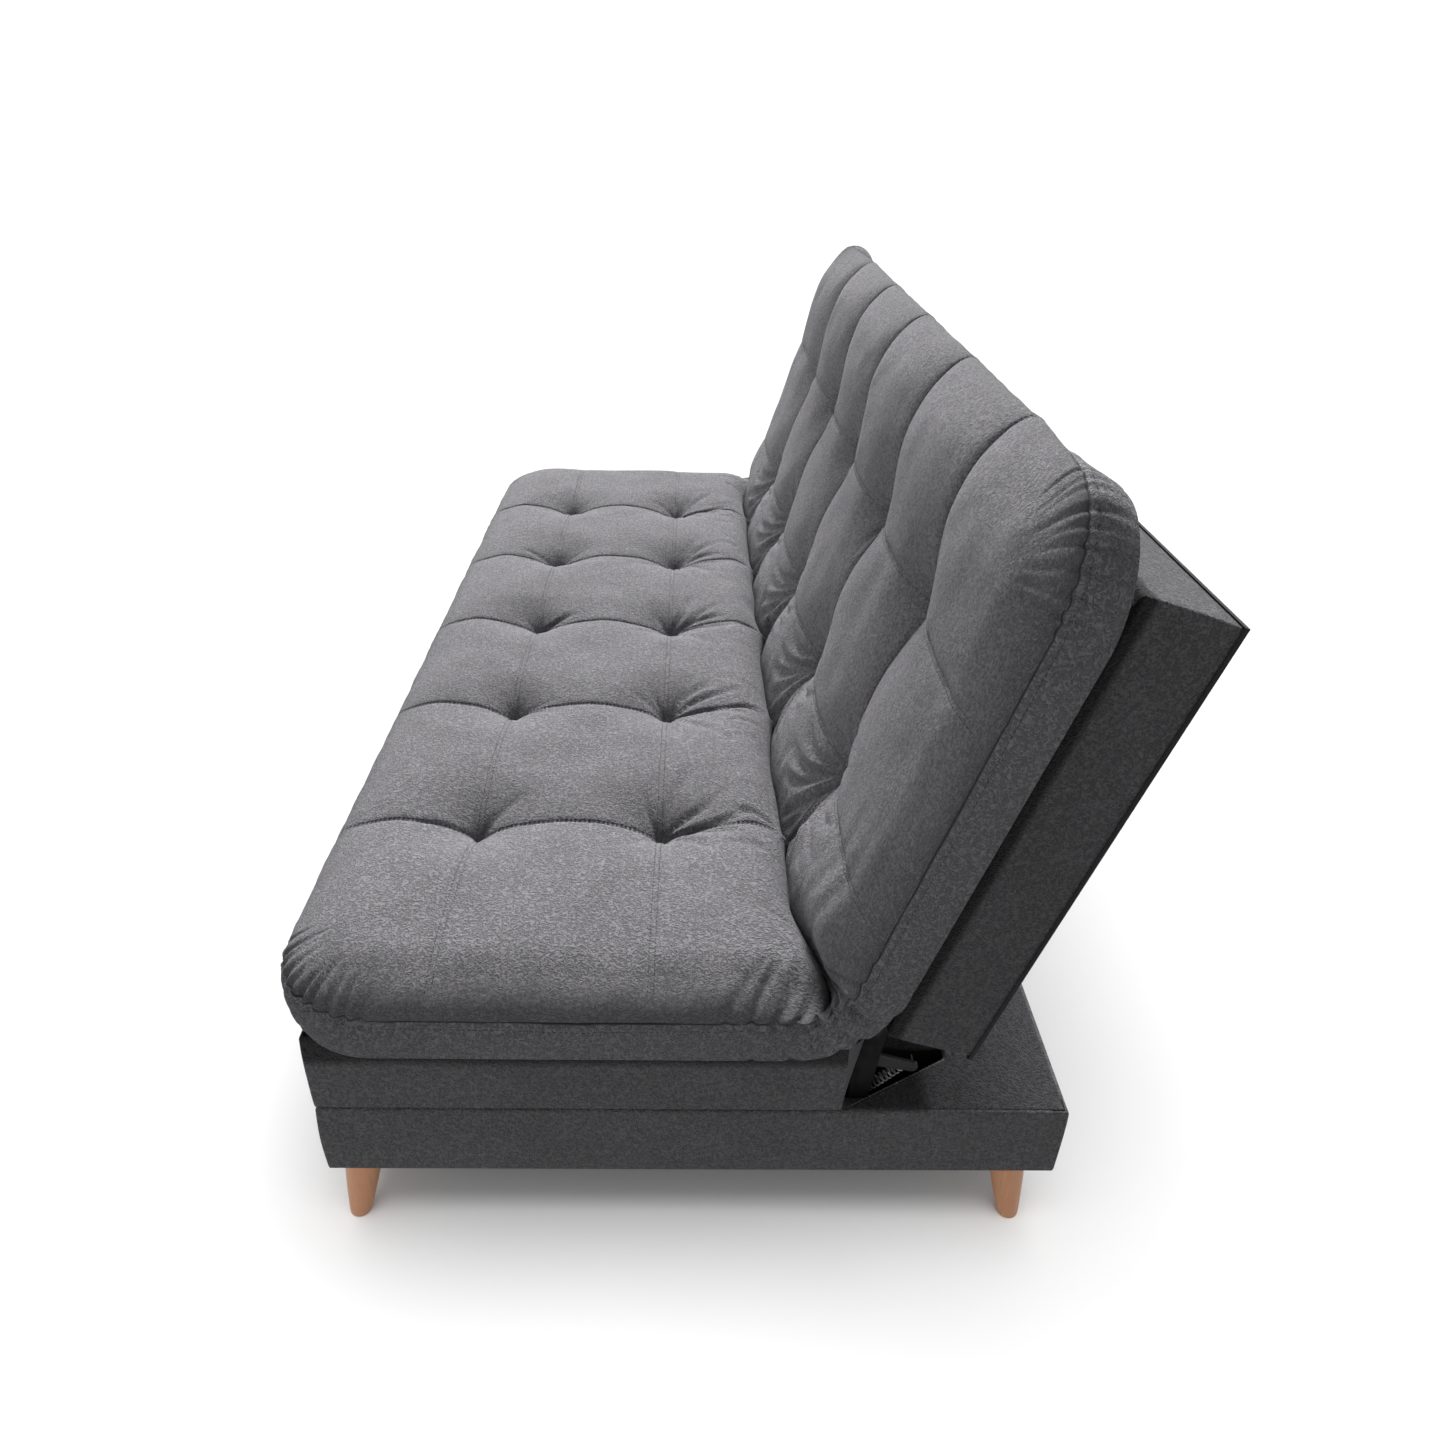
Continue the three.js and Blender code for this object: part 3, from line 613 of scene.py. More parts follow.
def fold(x, v, start, end, bow, width, depth, open_end=False):
    """A groove with soft ridges beside it, from start to end, bowed sideways at its middle.

    It fades at both ends, or deepens towards an open end.
    """
    (x0, v0), (x1, v1) = start, end
    length = math.hypot(x1 - x0, v1 - v0)
    ux, uv = (x1 - x0) / length, (v1 - v0) / length
    t = np.clip(((x - x0) * ux + (v - v0) * uv) / length, 0, 1)
    off = -(x - x0) * uv + (v - v0) * ux - bow * 4 * t * (1 - t)
    beyond = np.maximum(0, np.abs((x - x0) * ux + (v - v0) * uv - length / 2) - length / 2)
    spread = width * (0.4 + 0.6 * t)
    q = (off / spread) ** 2 + (beyond / spread) ** 2
    taper = t**0.7 if open_end else np.sin(np.pi * np.clip(0.14 + 0.86 * t, 0, 1)) ** 0.7
    return -depth * taper * (1 - 0.9 * q) * np.exp(-q)


# The folds round a tuft, in degrees: on the back from straight down, on the seat from straight to the rear.
SAGS = [(88, 0.030), (68, 0.026), (48, 0.020), (28, 0.012), (11, 0.004)]  # (direction, bow)
SAG_REACH = 0.145  # the length of the sagging ones, where the crease leaves room for it
RISING = (118, 148)
SEAT_FAN = (-70, -42, -16, 18, 46, 74)


def ray(x, v, turn, reach):
    """The place reached from x, v in a direction, measured from the way that v grows."""
    return x + reach * math.sin(turn), v + reach * math.cos(turn)


def tuft_folds(draw):
    """Folds that leave the tufts: sagging arcs below the lower back tufts, and fans on the seat."""
    folds = []
    low = BACK_ROWS[0]
    for x in TUFT_COLUMNS:
        for side in (-1, 1):
            for degrees, bow in SAGS:
                turn = math.radians(degrees + draw.uniform(-4, 4))
                room = (low - CREASE - 0.008) / max(math.cos(turn), 0.2)
                reach = draw.uniform(0.92, 1.06) * min(SAG_REACH, room)
                start = (x + side * 0.007 * math.sin(turn), low - 0.007 * math.cos(turn))
                end = (x + side * reach * math.sin(turn), low - reach * math.cos(turn))
                width, depth = draw.uniform(0.011, 0.015), draw.uniform(0.0055, 0.008)
                folds.append((start, end, -side * bow, width, depth))
            for degrees in RISING:
                turn = math.radians(degrees + draw.uniform(-8, 8))
                reach = draw.uniform(0.08, 0.12)
                end = (x + side * reach * math.sin(turn), low - reach * math.cos(turn))
                folds.append(((x, low), end, side * 0.010, 0.012, draw.uniform(0.002, 0.0035)))
        for degrees in SEAT_FAN:
            turn = math.radians(degrees + draw.uniform(-7, 7))
            start = (x + 0.006 * math.sin(turn), SEAT_ROWS[1] + 0.006)
            end = ray(x, SEAT_ROWS[1], turn, draw.uniform(0.10, 0.15))
            folds.append((start, end, draw.uniform(-0.014, 0.014), 0.012, draw.uniform(0.003, 0.0055)))
        for row in TUFT_ROWS:
            for degrees in draw.uniform(0, 360, 6):
                end = ray(x, row, math.radians(degrees), draw.uniform(0.05, 0.10))
                bow = draw.uniform(-0.006, 0.006)
                folds.append(((x, row), end, bow, 0.009, draw.uniform(0.0015, 0.003)))
    return folds


# The long folds up the end panels, as (|x| where each leaves the crease, length).
END_FOLDS = [(0.70, 0.20), (0.745, 0.27), (0.79, 0.24), (0.835, 0.30), (0.875, 0.22), (0.91, 0.17)]


def crease_folds(draw):
    """Short tucks along both sides of the crease, and long soft folds up the end panels of the back."""
    folds = []
    for x in np.arange(-0.84, 0.85, 0.052):
        place = x + draw.uniform(-0.02, 0.02)
        lean = draw.uniform(-0.03, 0.03)
        start, end = (place, CREASE - 0.012), (place + lean, CREASE - draw.uniform(0.05, 0.11))
        folds.append((start, end, draw.uniform(-0.006, 0.006), 0.010, draw.uniform(0.001, 0.0035)))
        start, end = (place, CREASE + 0.008), (place - lean, CREASE + draw.uniform(0.05, 0.10))
        folds.append((start, end, draw.uniform(-0.008, 0.008), 0.010, draw.uniform(0.0015, 0.004)))
    for side in (-1, 1):
        for place, reach in END_FOLDS:
            start = (side * (place + draw.uniform(-0.008, 0.008)), CREASE + 0.02)
            end = (side * (place + 0.16 * reach), CREASE + reach)
            bow = side * draw.uniform(-0.034, -0.012)
            folds.append((start, end, bow, 0.024, draw.uniform(0.0006, 0.0014)))
    return folds


# The fan at each end of the crease, as (place along v past the crease, depth in PLEAT_DEPTH).
FAN = [(-0.118, 3), (-0.088, 5), (-0.062, 7), (-0.038, 9), (-0.014, 13), (0.006, 14), (0.030, 9), (0.056, 7),
       (0.088, 4)]
PLEAT_WIDTH, PLEAT_DEPTH = 0.0056, 0.00092
PUCKER_WIDTH = 0.0066


def end_pleats(draw):
    """The pleats that fan out at both ends of the crease, and the puckers at the four outer corners."""
    pleats = []
    hub = HALF_X - PLAN_CORNER
    for side in (-1, 1):
        for spread, depth in FAN:
            start = (side * draw.uniform(0.835, 0.862), CREASE + 0.16 * spread)
            end = (side * 0.972, CREASE + 0.026 + spread)
            bow = side * draw.uniform(-0.008, 0.002)
            pleats.append((start, end, bow, PLEAT_WIDTH, PLEAT_DEPTH * depth, True))
        for centre, sign in ((PLAN_CORNER, -1), (TOP_EDGE - PLAN_CORNER, 1)):
            for degrees in np.arange(4, 90, 9.4):
                turn = math.radians(degrees + draw.uniform(-2, 2))
                inner, outer = PLAN_CORNER - draw.uniform(0.035, 0.062), PLAN_CORNER + 0.002
                start = (side * (hub + inner * math.cos(turn)), centre + sign * inner * math.sin(turn))
                end = (side * (hub + outer * math.cos(turn)), centre + sign * outer * math.sin(turn))
                depth = draw.uniform(0.0014, 0.0036) * (1 + 0.9 * math.cos(turn) ** 2)
                pleats.append((start, end, draw.uniform(-0.002, 0.002), PUCKER_WIDTH, depth, True))
    return pleats


FACE_FOLDS = tuft_folds(np.random.RandomState(7)) + crease_folds(np.random.RandomState(9))
END_PLEATS = end_pleats(np.random.RandomState(11))


def gather(x, v, folds, reach):
    """The sum of the folds, each worked out only for the points near it."""
    total = np.zeros_like(x)
    for item in folds:
        (x0, v0), (x1, v1) = item[:2]
        near = (x > min(x0, x1) - reach) & (x < max(x0, x1) + reach)
        near &= (v > min(v0, v1) - reach) & (v < max(v0, v1) + reach)
        total[near] += fold(x[near], v[near], *item)
    return total


OPEN_FROM = 0.89  # |x| where the crease starts to open into a soft hollow at each end
OPEN_WIDTH = 0.060
OPEN_RISE = 0.016  # that hollow's height over the seam
SLOPE_SHARE, SLOPE_POWER = 0.45, 1.8  # how much of the shoulder is an even slope rather than a quarter round
CROWN_DROP, CROWN_RUN = 0.006, 0.05  # the face falls by this towards the shoulder, over this length
WRINKLES = [(0.0024, 0.13, 3), (0.0013, 0.045, 4)]  # soft unevenness as (height, size, seed)
SCALLOP_WIDTH = 0.045  # how far from the crease its wandering is felt


def face_points(x, v):
    """Points of the pad's face over the grid places x, v."""
    px, pv = plan_place(x, v)
    out_x, out_v, inset = outward_at(px, pv)
    share = np.clip(1 - inset / ROLL, 0, 1)
    over = overturned(px, pv)
    turn = np.arcsin(share) * (1 + OVERTURN * over)
    rolled = (1 - np.cos(turn)) / (1 - np.cos(np.pi / 2 * (1 + OVERTURN * over)))
    rolled = mix(rolled, share**SLOPE_POWER, SLOPE_SHARE * (1 - over))
    shift = ROLL * (np.sin(turn) - share)
    px, pv = px + out_x * shift, pv + out_v * shift
    seam_n = mix(SEAM_N, TOP_SEAM_N, over)
    opened = smooth((np.abs(px) - OPEN_FROM) / (HALF_X - OPEN_FROM)) * bell(pv - CREASE - 0.02, OPEN_WIDTH)
    y_crest, z_crest = crest_profile(pv)
    y_round, z_round = bent_profile(pv, SEAM_Z, seam_n)
    ny, nz = normal_at(pv)
    y_soft, z_soft = y_round + OPEN_RISE * ny, z_round + OPEN_RISE * nz
    y_top, z_top = mix(y_crest, y_soft, opened), mix(z_crest, z_soft, opened)
    y, z = mix(y_top, y_round, rolled), mix(z_top, z_round, rolled)
    away = smooth(np.abs(pv - CREASE) / 0.03)
    inside = 1 - rolled
    crown = -CROWN_DROP * np.exp(-np.maximum(inset - 0.5 * ROLL, 0) / CROWN_RUN)
    lift = (crown - tuft_field(px, pv) * (0.25 + 0.75 * away)) * inside
    lift = lift + gather(px, pv, FACE_FOLDS, 0.05) * (0.5 + 0.5 * away) * inside
    pleats = gather(px, pv, END_PLEATS, 0.04) + 0.0007 * share * wave(px + pv, 0.027, 5)
    lift = lift + sum(height * ripple(px, pv, size, seed) for height, size, seed in WRINKLES) * inside
    lift = lift + pleats * np.cos(turn)
    sideways = pleats * np.sin(turn)
    scallop = CREASE_SCALLOP * (valley(nearest(TUFT_COLUMNS, px), ACROSS_REACH) - 0.45)
    scallop = (scallop + 0.003 * wave(px, 0.09, 6)) * (1 - opened)
    scallop = scallop + CREASE_END_SHIFT * smooth((np.abs(px) - 0.75) / 0.19)
    scallop = scallop * bell(pv - CREASE, SCALLOP_WIDTH) * inside
    y, z = y + ny * lift + nz * out_v * sideways + scallop, z + nz * lift - ny * out_v * sideways
    return np.stack([px + out_x * sideways, y, z], -1)


# Places of the band's rows from its upper seam (0) to its lower one (1).
BAND_STEPS = [0.0, 0.03, 0.07, 0.12, 0.17, 0.23, 0.3, 0.4, 0.5, 0.6, 0.7, 0.8, 0.88, 0.94, 0.98, 1.0]
BAND_STITCH = 4  # the row of the band's stitches
BAND_BULGE = 0.0075  # the band's roundness between its seams
BAND_GROOVES = [(0.17, 0.0013, 0.035), (0.02, 0.0020, 0.02), (0.9, 0.0022, 0.035)]  # (place, depth, width)
BAND_INSET = 0.005  # how far in the band's lower edge lies along the front and the back
BAND_OVERHANG = 0.014  # how much further out it lies at the two ends
TOP_BAND_DROP = 0.030  # the band's extra width along the overturned top
UNDER_INSET = 0.05  # the underside's first ring lies this far in from the lower seam
UNDER_Z = SEAT_TOP + 0.0006  # the underside's height on the seat
UNDER_N = 0.0012  # and its distance in front of the back box
UNDER_SEAM = (SEAT_TOP + 0.001, 0.014)  # the lower seam: height on the seat, depth on the back
# Pleats across the band at the crease's ends, as (place past the crease, slant down the band, depth).
BAND_PLEATS = [(-0.072, 0.012, 0.0025), (-0.036, 0.020, 0.004), (-0.006, 0.026, 0.005),
               (0.016, 0.020, 0.0075), (0.046, 0.018, 0.0035), (0.085, 0.012, 0.002)]
BAND_PLEAT_WIDTH = 0.0042


def band_pleats(px, pv, t):
    total = np.zeros_like(px)
    for place, slant, depth in BAND_PLEATS:
        total += depth * bell(pv - CREASE - place - slant * t, BAND_PLEAT_WIDTH)
    return total * smooth((np.abs(px) - 0.94) / 0.02)


def border(x, v):
    """Columns of points from the upper seam at the grid's edge places x, v down to the pad's underside."""
    top = face_points(x, v)
    px, pv = plan_place(x, v)
    out_x, out_v, _ = outward_at(px, pv)
    run = run_along(np.diff(px), np.diff(pv))
    ny, nz = normal_at(pv)
    ty, tz = nz, -ny
    side = np.hypot(out_x, out_v)
    inset = BAND_INSET - BAND_OVERHANG * np.abs(out_x) ** 3 + TOP_BAND_DROP * overturned(px, pv)
    y_low, z_low = bent_profile(pv - inset * out_v, *UNDER_SEAM)
    low = np.stack([px - inset * out_x, y_low, z_low], -1)
    direction = np.stack([out_x, out_v * ty, out_v * tz], -1)
    pucker = wave(run, 0.015, 21) * 0.6 + wave(run, 0.041, 22)
    rows = []
    for t in BAND_STEPS:
        bulge = BAND_BULGE * math.sin(math.pi * t) ** 0.45
        bulge -= sum(depth * bell(t - place, width) for place, depth, width in BAND_GROOVES)
        crumple = 0.0013 * pucker * bell(t - 0.16, 0.2)
        crumple = crumple + 0.0022 * wave(run, 0.13, 23) * math.sin(math.pi * t) - band_pleats(px, pv, t)
        rows.append(mix(top, low, t) + direction * ((bulge + crumple) * side)[:, None])
    y_in, z_in = bent_profile(pv - UNDER_INSET * out_v, UNDER_Z, UNDER_N)
    rows.append(np.stack([px - UNDER_INSET * out_x, y_in, z_in], -1))
    return rows, run


def outline(columns, rows, crease_row):
    """The border's grid places in order: up one end, the outer edge, down the other end, the crease."""
    last = len(columns) - 1
    order = list(range(len(rows)) if crease_row == 0 else range(len(rows) - 1, -1, -1))
    loop = [(0, j) for j in order]
    loop += [(i, order[-1]) for i in range(1, last + 1)]
    loop += [(last, j) for j in reversed(order[:-1])]
    loop += [(i, order[0]) for i in range(last - 1, 0, -1)]
    return loop


def mattress_half(name, v_knots, crease_row):
    """One half as a closed body: its face, its border all round and its underside.

    Also gives the line of its band's stitches.
    """
    step = 0.0066
    half = HALF_X + GRID_EXTRA
    ends = [-half, -HALF_X + PLAN_CORNER, *TUFT_COLUMNS, HALF_X - PLAN_CORNER, half]
    columns = halved(spaced(ends, step), lambda x: np.abs(x) > HALF_X - 0.15)
    rows = spaced(v_knots, step)
    rows = halved(rows, lambda v: (np.abs(v - CREASE) < 0.13) | (v < 0.1) | (v > TOP_EDGE - 0.1))
    x, v = np.meshgrid(columns, rows)
    points = face_points(x.ravel(), v.ravel())
    faces = grid_faces(len(rows), len(columns))
    uv = np.stack([x.ravel(), v.ravel()], -1)
    loop = outline(columns, rows, crease_row)
    down, run = border(np.array([columns[i] for i, _ in loop]), np.array([rows[j] for _, j in loop]))
    start, count = len(points), len(loop)
    points = np.concatenate([points, *down[1:]])
    levels = [2 + 0.055 * t for t in BAND_STEPS[1:]] + [2.1]
    uv = np.concatenate([uv] + [np.stack([run, np.full(count, level)], -1) for level in levels])
    rings = [[j * len(columns) + i for i, j in loop]]
    rings += [list(range(start + k * count, start + (k + 1) * count)) for k in range(len(down) - 1)]
    flip = crease_row != 0
    for upper, lower in zip(rings[:-1], rings[1:]):
        for k in range(count):
            m = (k + 1) % count
            quad = (upper[k], upper[m], lower[m], lower[k])
            faces.append(quad if flip else quad[::-1])
    faces += underside(rings[-1], len(rows), len(columns), flip)
    piece = add_mesh(name, points, faces, FABRIC["mattress"], uv)
    return piece, down[BAND_STITCH][:count - len(columns) + 2]


def underside(ring, row_count, column_count, flip):
    """Closes the bottom ring: strips across between its two ends, and a face at each long edge."""
    left = ring[:row_count]
    outer = ring[row_count:row_count + column_count - 2]
    right = ring[row_count + column_count - 2:2 * row_count + column_count - 2]
    crease = ring[2 * row_count + column_count - 2:]
    faces = [(left[k], left[k + 1], right[-2 - k], right[-1 - k]) for k in range(1, row_count - 1)]
    faces.append((left[-1], *outer, right[0]))
    faces.append((left[0], left[1], right[-2], right[-1], *crease))
    return [f if flip else f[::-1] for f in faces]


# A stitch's length, the distance from one to the next, and the thread's radius.
STITCH, STITCH_PITCH, STITCH_RADIUS = 0.0048, 0.0062, 0.0005
TWIN = 0.0034  # the stitches' distance from their seam
TUFT_GAP = 0.010  # the stitches stop this far from a tuft


def stitches(name, paths, material, length=STITCH, pitch=STITCH_PITCH, radius=STITCH_RADIUS):
    """A row of thread stitches along each path, each one a small spindle."""
    points, faces = [], []
    for path in paths:
        run = run_along(*np.diff(path, axis=0).T)
        starts = np.arange(0, run[-1] - length, pitch)
        ends = [np.stack([np.interp(at, run, path[:, k]) for k in range(3)], -1)
                for at in (starts, starts + length)]
        along = ends[1] - ends[0]
        along /= np.linalg.norm(along, axis=1)[:, None]
        helper = np.where(np.abs(along[:, [2]]) < 0.8, [[0.0, 0.0, 1.0]], [[1.0, 0.0, 0.0]])
        side = np.cross(along, helper)
        side *= radius / np.linalg.norm(side, axis=1)[:, None]
        up = np.cross(side, along)
        quarter = [ends[0] + 0.25 * length * along, ends[1] - 0.25 * length * along]
        rings = [centre + turn for centre in quarter for turn in (side, up, -side, -up)]
        block = np.stack([ends[0], *rings, ends[1]], 1)
        base = sum(len(p) for p in points) + 10 * np.arange(len(starts))
        for b in base:
            for k in range(4):
                m = (k + 1) % 4
                faces.append((b, b + 1 + m, b + 1 + k))
                faces.append((b + 1 + k, b + 1 + m, b + 5 + m, b + 5 + k))
                faces.append((b + 5 + k, b + 5 + m, b + 9))
        points.append(block.reshape(-1, 3))
    return add_mesh(name, np.concatenate(points), [tuple(int(i) for i in f) for f in faces], material)


def seam_paths(v_from, v_to, rows):
    """Twin stitch lines beside every seam of one half, broken at its tufts."""
    paths = []
    v = np.arange(v_from, v_to, 0.002)
    for x in TUFT_COLUMNS:
        for side in (-TWIN, TWIN):
            for low, high in zip([v_from, *(rows + TUFT_GAP)], [*(rows - TUFT_GAP), v_to]):
                inside = v[(v > low) & (v < high)]
                paths.append(face_points(np.full_like(inside, x + side), inside))
    reach = HALF_X - 0.012
    for row in rows:
        for side in (-TWIN, TWIN):
            for low, high in zip([-reach, *(TUFT_COLUMNS + TUFT_GAP)], [*(TUFT_COLUMNS - TUFT_GAP), reach]):
                x = np.arange(low, high, 0.002)
                paths.append(face_points(x, np.full_like(x, row + side)))
    return paths


def mattress():
    seat_knots = [-GRID_EXTRA, PLAN_CORNER, *SEAT_ROWS, CREASE - 0.05, CREASE]
    seat, seat_band = mattress_half("mattress_seat", seat_knots, -1)
    back_knots = [CREASE, CREASE + 0.05, *BACK_ROWS, TOP_EDGE - PLAN_CORNER, TOP_EDGE + GRID_EXTRA]
    back, back_band = mattress_half("mattress_back", back_knots, 0)
    seat_paths = seam_paths(-GRID_EXTRA + 0.02, CREASE - 0.012, SEAT_ROWS) + [seat_band]
    back_paths = seam_paths(CREASE + 0.012, TOP_EDGE + GRID_EXTRA - 0.01, BACK_ROWS) + [back_band]
    seat_thread = stitches("mattress_seat_stitches", seat_paths, SHADED_THREAD)
    back_thread = stitches("mattress_back_stitches", back_paths, SHADED_THREAD)
    for piece in (seat, seat_thread):
        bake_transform(piece)
    for piece in (back, back_thread):
        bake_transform(piece)
    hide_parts("seat_mattress")
    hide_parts("back_mattress")


# ---- upholstered boxes ----
EDGE = 0.0042  # radius of a box's upholstered edges
LIP = 0.022  # how far the cover folds over the frame at its open sides
SKIN = 0.0013  # the velvet's thickness
ARC = 6  # points round an edge's quarter turn
COVER_EASE = 0.0012  # how far a cover's wall stands out at its middle


def rounded_plan(half_x, low, high, radius, step):
    """Points round a rectangle with round corners, with their outward directions and the run."""
    places, outward = [], []
    near, far = low + radius, high - radius
    centres = [(-1, near, 180), (1, near, 270), (1, far, 0), (-1, far, 90)]
    for (side, cy, start), following in zip(centres, centres[1:] + centres[:1]):
        cx = side * (half_x - radius)
        for degrees in np.linspace(start, start + 90, 7):
            turn = math.radians(degrees)
            outward.append((math.cos(turn), math.sin(turn)))
            places.append((cx + radius * math.cos(turn), cy + radius * math.sin(turn)))
        next_x, next_y = following[0] * (half_x - radius), following[1]
        begin = np.array(places[-1])
        finish = np.array([next_x + radius * math.cos(turn), next_y + radius * math.sin(turn)])
        count = max(2, round(np.linalg.norm(finish - begin) / step))
        for k in range(1, count):
            places.append(tuple(begin + (finish - begin) * k / count))
            outward.append((math.cos(turn), math.sin(turn)))
    places, outward = np.array(places), np.array(outward)
    return places, outward, run_along(*np.diff(places, axis=0).T)


def cover_section(height):
    """A cover's section as (distance outward, height, free): lip, edge, wall, edge, lip, inner side."""
    outer = [(-LIP, 0.0, 0), (-EDGE - 0.004, 0.0, 0)]
    for degrees in np.linspace(-90, 0, ARC):
        turn = math.radians(degrees)
        outer.append((EDGE * (math.cos(turn) - 1), EDGE * (1 + math.sin(turn)), 0.0))
    for t in np.linspace(0, 1, 12)[1:-1]:
        outer.append((0.0, EDGE + (height - 2 * EDGE) * t, math.sin(math.pi * t)))
    for degrees in np.linspace(0, 90, ARC):
        turn = math.radians(degrees)
        outer.append((EDGE * (math.cos(turn) - 1), height - EDGE * (1 - math.sin(turn)), 0.0))
    outer += [(-EDGE - 0.004, height, 0), (-LIP, height, 0)]
    inner = [(-LIP, height - SKIN, 0), (-EDGE, height - SKIN, 0), (-SKIN, height - EDGE, 0)]
    inner += [(-SKIN, EDGE, 0), (-EDGE, SKIN, 0), (-LIP, SKIN, 0)]
    return np.array(outer + inner)


def wrapped_cover(name, span, heights, place, seed, material):
    """A velvet cover round a box: (x, a) plan with a over the span, heights along the third direction."""
    places, outward, run = rounded_plan(SEAT_HIGH[0], *span, EDGE, 0.012)
    section = cover_section(heights[1] - heights[0])
    rows, uv = [], []
    length = run_along(np.diff(section[:, 0]), np.diff(section[:, 1]))
    for (out, height, free), along in zip(section, length):
        slack = 0.0008 * wave(run, 0.16, seed)
        slack = slack + 0.0005 * ripple(run, np.full_like(run, height), 0.05, seed + 1)
        slack = slack + 0.0006 * wave(run + 0.4 * height, 0.07, seed + 2)
        offset = out + free * (COVER_EASE + slack)
        flat = places + outward * offset[:, None]
        rows.append(place(flat[:, 0], flat[:, 1], np.full(len(flat), heights[0] + height)))
        uv.append(np.stack([run, np.full(len(run), along)], -1))
    layers, count = len(rows), len(places)
    faces = []
    for r in range(layers):
        a, b = r * count, ((r + 1) % layers) * count
        for c in range(count):
            d = (c + 1) % count
            faces.append((a + c, a + d, b + d, b + c))
    piece = add_mesh(name, np.concatenate(rows), faces, material, np.concatenate(uv))
    return piece, (run[-1], heights[1] - heights[0] + 2 * LIP)


def upright(x, a, h):
    return np.stack([x, a, h], -1)


def leaning(x, s, depth):
    """Places on the back box: s up the back, depth from its face to the rear."""
    y, z = on_back(s, -depth)
    return np.stack([x, y, z], -1)


def box_covers():
    """The covers of the three boxes, each as (body, span, heights, placing, seed, fabric, rail below it)."""
    base_span, base_heights = (BASE_LOW[1], BASE_HIGH[1]), (BASE_LOW[2], BASE_HIGH[2])
    seat_span, seat_heights = (SEAT_LOW[1], SEAT_HIGH[1]), (SEAT_LOW[2], SEAT_HIGH[2])
    for body, span, heights, place, seed, fabric, rail in (
        ("base", base_span, base_heights, upright, 31, "box", "base_front_rail"),
        ("seat", seat_span, seat_heights, upright, 41, "seat_box", "seat_front_rail"),
        ("back", (0, BACK_HEIGHT), (0, BACK_THICK), leaning, 51, "back_box", "back_top_rail"),
    ):
        piece, flat = wrapped_cover(f"{body}_velvet", span, heights, place, seed, FABRIC[fabric])
        if place is leaning:
            piece.data.flip_normals()
        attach(piece, body)
        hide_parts(f"{body}_cover")


# ---- deck, dust covers, legs, staples ----
DECK_INNER = node_box("base_inner_rail_right")[1][0]  # |x| where the full depth ends
DECK_SLANT = np.array([0.867, node_box("base_deck_rail")[0][1]])  # where the slanting cut meets the rail
DECK_EAR = node_box("rear_deck_fabric")[0][1]  # y of the cut's outer end
DECK_FRONT = node_box("base_cross_rail")[0][1]
DECK_HALF = BASE_HIGH[0] - 0.0045
DECK_REAR = BASE_HIGH[1] - 0.0045
# The deck's rolled front edge as (distance in from the edge, height over the base).
DECK_ROLL = [(0.014, -0.0075), (0.006, -0.0082), (0.001, -0.0070), (-0.0012, -0.0040), (-0.0008, -0.0012),
             (0.0012, 0.0004), (0.0042, 0.0008), (0.0075, 0.0006), (0.0105, 0.0003), (0.016, 0.0004)]
DECK_TURN = [(0.004, 0.0004), (0.001, 0.0002), (0, -0.0012)]  # and its rear edge, in the same way
UNDER_ROLL = 3  # the rows below the roll, whose inner side lies above the outer one


def deck_front(x):
    """The deck's front edge: along the cross rail, and cut away at both ends for the mechanism."""
    a = np.abs(x)
    slant = mix(DECK_SLANT[1], DECK_EAR, (a - DECK_SLANT[0]) / (DECK_HALF - DECK_SLANT[0]))
    return np.where(a < DECK_INNER, DECK_FRONT, np.where(a < DECK_SLANT[0], DECK_SLANT[1], slant))


def thin_body(name, upper, lower, row_count, column_count, material):
    """Joins two grids of points, row by row, into one thin closed body."""
    count = row_count * column_count
    faces = grid_faces(row_count, column_count)
    below = [tuple(count + k for k in f[::-1]) for f in faces]
    rim = list(range(column_count)) + [column_count * r + column_count - 1 for r in range(1, row_count)]
    rim += [column_count * (row_count - 1) + k for k in range(column_count - 2, -1, -1)]
    rim += [column_count * r for r in range(row_count - 2, 0, -1)]
    following = rim[1:] + rim[:1]
    edge = [(a, count + a, count + b, b) for a, b in zip(rim, following)]
    return add_mesh(name, np.concatenate([upper, lower]), faces + below + edge, material)


